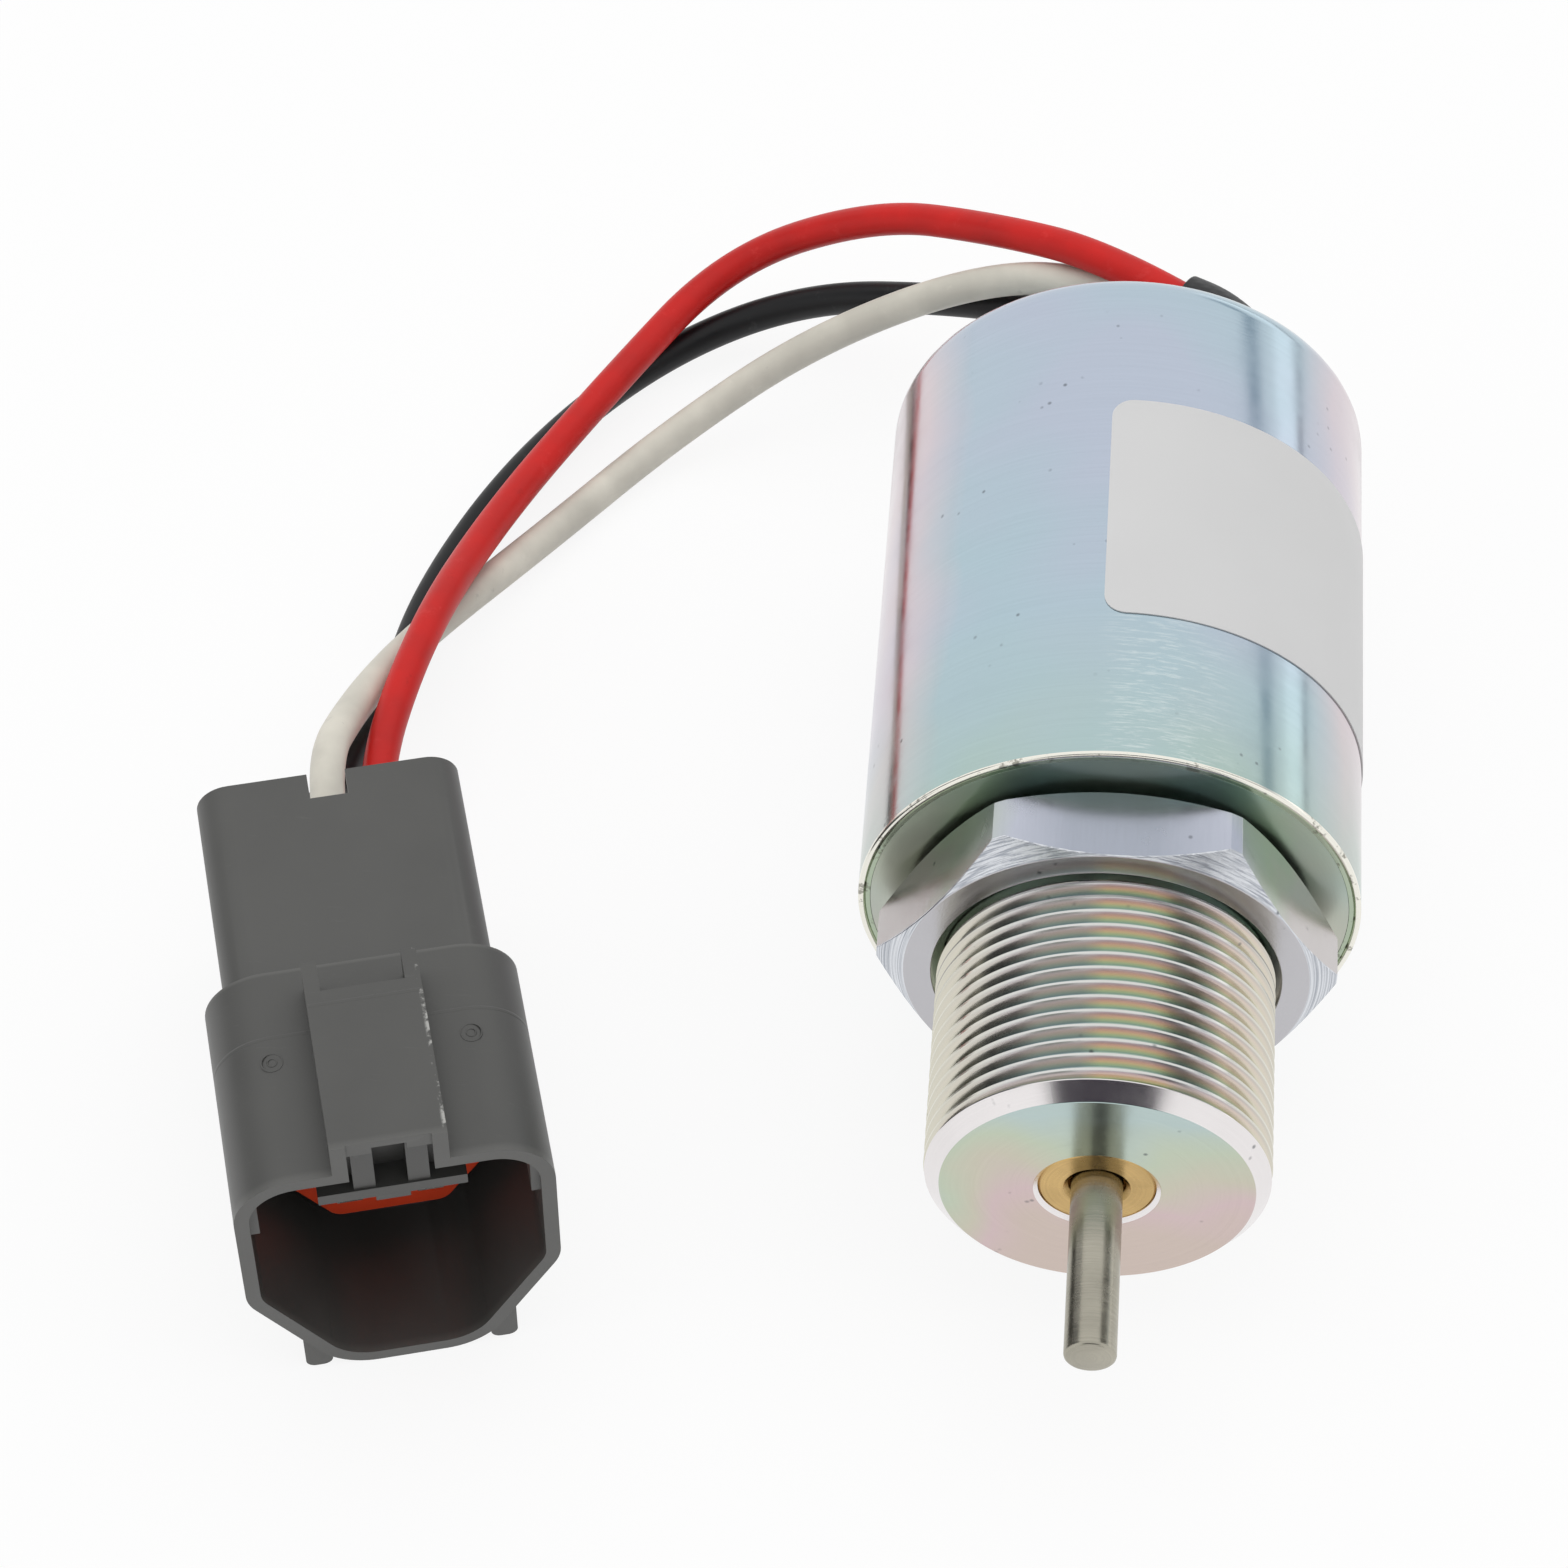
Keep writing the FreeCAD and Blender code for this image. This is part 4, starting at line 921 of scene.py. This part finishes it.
class BuildStage(bpy.types.Operator):
    """Pale floor, soft lamps, reflector cards and the camera"""
    bl_idname = "solenoid.build_stage"
    bl_label = "Stage"

    def execute(self, context):
        context.scene.view_settings.view_transform = "Standard"
        self.make_camera(context.scene)
        self.make_floor()
        self.make_world(context.scene)
        self.make_lamps()
        self.make_cards()
        return {"FINISHED"}

    def make_camera(self, scene):
        """The place and turn that the fit of the photograph's perspective gave."""
        data = bpy.data.cameras.new("camera")
        data.lens = 108.02
        data.sensor_width = 36.0
        data.clip_start = 0.01
        data.clip_end = 20.0
        place = Vector((-10.127, -251.797, 339.475)) * MM
        forward = Vector((-0.04633, 0.61281, -0.78887)).normalized()
        right = Vector((0.99715, 0.07539, 0.0)).normalized()
        turn = Matrix((right, right.cross(forward), -forward)).transposed()
        camera = new_object("camera", data)
        camera.matrix_world = Matrix.Translation(place) @ turn.to_4x4()
        scene.camera = camera

    def lit_from(self, node):
        """One where the surface is seen directly, in a reflection or through glass, and zero elsewhere."""
        paths = node("LightPath", out=None)
        bounced = node("Math", {0: paths["Is Glossy Ray"], 1: paths["Is Transmission Ray"]},
                       operation="MAXIMUM")
        return node("Math", {0: paths["Is Camera Ray"], 1: bounced}, operation="MAXIMUM")

    def aimed(self, place, aim):
        """The matrix of a lamp or a card at a place, turned to face another."""
        way = place - aim
        return Matrix.Translation(place) @ way.to_track_quat("Z", "Y").to_matrix().to_4x4()

    def make_board(self, name, wide, tall):
        """A flat board of this width and height in metres, level and centred on the origin."""
        mesh = bmesh.new()
        bmesh.ops.create_grid(mesh, x_segments=1, y_segments=1, size=0.5)
        bmesh.ops.scale(mesh, vec=(wide, tall, 1), verts=mesh.verts)
        return new_object(name, mesh_data(name, mesh))

    def make_floor(self):
        """White paper: it keeps the object's shadow, and reads as white to the eye and in the metal."""
        floor = self.make_board("floor", 6.0, 6.0)
        floor.data.transform(Matrix.Translation((0, 0, floor_z * MM)))
        material = bpy.data.materials.new("white paper floor")
        node = start_nodes(material)
        paper = node("BsdfDiffuse", {"Color": "#F6F6F6"})
        white = node("Emission", {"Color": "#FFFFFF", "Strength": 1.0})
        share = node("Math", {0: self.lit_from(node), 1: 0.88}, operation="MULTIPLY")
        node("OutputMaterial", {"Surface": node("MixShader", {0: share, 1: paper, 2: white})})
        floor.data.materials.append(material)

    def make_world(self, scene):
        """A white tent, dimmer as a light than it looks."""
        scene.world = bpy.data.worlds.new("studio")
        node = start_nodes(scene.world)
        strength = node("Math", {0: self.lit_from(node), 1: 0.48, 2: 0.52}, operation="MULTIPLY_ADD")
        node("OutputWorld", {"Surface": node("Background", {"Color": "#FFFFFF", "Strength": strength})})

    def make_lamps(self):
        """Wide soft boxes. Metal shows only the tent and the cards, so nothing in it burns out."""
        aim = Vector((-0.01, 0.02, 0.0))
        for name, place, size, power in (
                ("lamp_above", (0.05, 0.30, 1.1), 1.5, 7.4),
                ("lamp_left", (-0.9, -0.2, 0.5), 0.7, 1.7),
                ("lamp_right", (0.9, -0.1, 0.6), 0.6, 1.2)):
            data = bpy.data.lights.new(name, "AREA")
            data.shape = "SQUARE"
            data.size = size
            data.energy = power
            lamp = new_object(name, data)
            lamp.matrix_world = self.aimed(Vector(place), aim)
            lamp.visible_glossy = False

    def make_cards(self):
        """Gray and white cards round the object, which only its shine shows: they give metal its contrast.

        Each has a bearing to the right of straight ahead, as from the can to the boss, a height as an
        angle, a distance, a width and a height, and a shade, which fades to white at the card's edges.
        """
        for name, bearing, height, away, wide, tall, shade, strength in (
                ("card_camera", 2, 37, 1.0, 1.15, 0.55, "#35313A", 1),
                ("card_left", -101, 19, 1.0, 0.42, 0.8, "#0A1024", 1),
                ("card_left_soft", -15, 5, 0.4, 0.12, 0.09, "#8A9088", 1),
                ("card_right", 112, 36, 1.0, 0.24, 0.6, "#26261C", 1),
                ("card_right_low", 21, 2, 0.3, 0.09, 0.06, "#3E4248", 1),
                ("card_side_gray", 130, 19, 1.0, 1.4, 0.1, "#AEB9C2", 1),
                ("card_side_white", 130, 6, 0.9, 1.4, 0.14, "#FFFFFF", 1.3),
                ("card_side_low", 130, 0, 0.6, 1.0, 0.025, "#9C9CA0", 1)):
            turn, rise = math.radians(bearing), math.radians(height)
            level = math.cos(rise)
            place = Vector((math.sin(turn) * level, -math.cos(turn) * level, math.sin(rise)))
            card = self.make_board(name, wide, tall)
            card.matrix_world = self.aimed(place * away + Vector((0, -0.02, 0)), Vector((0, 0, 0)))
            for seen in ("camera", "diffuse", "shadow", "transmission", "volume_scatter"):
                setattr(card, f"visible_{seen}", False)
            material, node, own = start_material(f"{name} board")
            x, y, z = node("SeparateXYZ", {"Vector": own}, out=None)
            across, up = (from_middle(node, part, size / 2 / MM) for part, size in ((x, wide), (y, tall)))
            reach = node("Math", {0: across, 1: up}, operation="MAXIMUM")
            faded = node("ValToRGB", {"Fac": reach}, stops=((0.75, shade), (1.0, "#FFFFFF")))
            node("OutputMaterial", {"Surface": node("Emission", {"Color": faded, "Strength": strength})})
            card.data.materials.append(material)


class SolenoidPanel(bpy.types.Panel):
    """Lists the pieces, sizes and colours"""
    bl_idname = "VIEW3D_PT_solenoid"
    bl_label = "Fuel Shutoff Solenoid"
    bl_space_type = "VIEW_3D"
    bl_region_type = "UI"
    bl_category = "Solenoid"

    def draw(self, context):
        column = self.layout.column()
        for operator in operators:
            column.operator(operator.bl_idname)
        for group in (context.scene.solenoid_sizes, context.scene.solenoid_colours):
            for name in group.bl_rna.properties.keys():
                if name not in ("rna_type", "name"):
                    column.prop(group, name)


operators = [BuildCan, BuildBase, BuildNut, BuildPlunger, BuildSpring, BuildOutlet, BuildLabel,
             BuildConnector, BuildLeads, FinishInside, BuildStage]
classes = [SolenoidSizes, SolenoidColours, *operators, SolenoidPanel]


def register():
    for item in classes:
        bpy.utils.register_class(item)
    bpy.types.Scene.solenoid_sizes = bpy.props.PointerProperty(type=SolenoidSizes)
    bpy.types.Scene.solenoid_colours = bpy.props.PointerProperty(type=SolenoidColours)


def unregister():
    del bpy.types.Scene.solenoid_colours
    del bpy.types.Scene.solenoid_sizes
    for item in reversed(classes):
        bpy.utils.unregister_class(item)


def main():
    register()
    bpy.ops.solenoid.build_can()
    bpy.ops.solenoid.build_base()
    bpy.ops.solenoid.build_nut()
    bpy.ops.solenoid.build_plunger()
    bpy.ops.solenoid.build_spring()
    bpy.ops.solenoid.build_outlet()
    bpy.ops.solenoid.build_label()
    bpy.ops.solenoid.build_connector()
    bpy.ops.solenoid.build_leads()
    bpy.ops.solenoid.finish_inside()
    bpy.ops.solenoid.build_stage()
    bpy.context.view_layer.update()


if __name__ == "__main__":
    main()
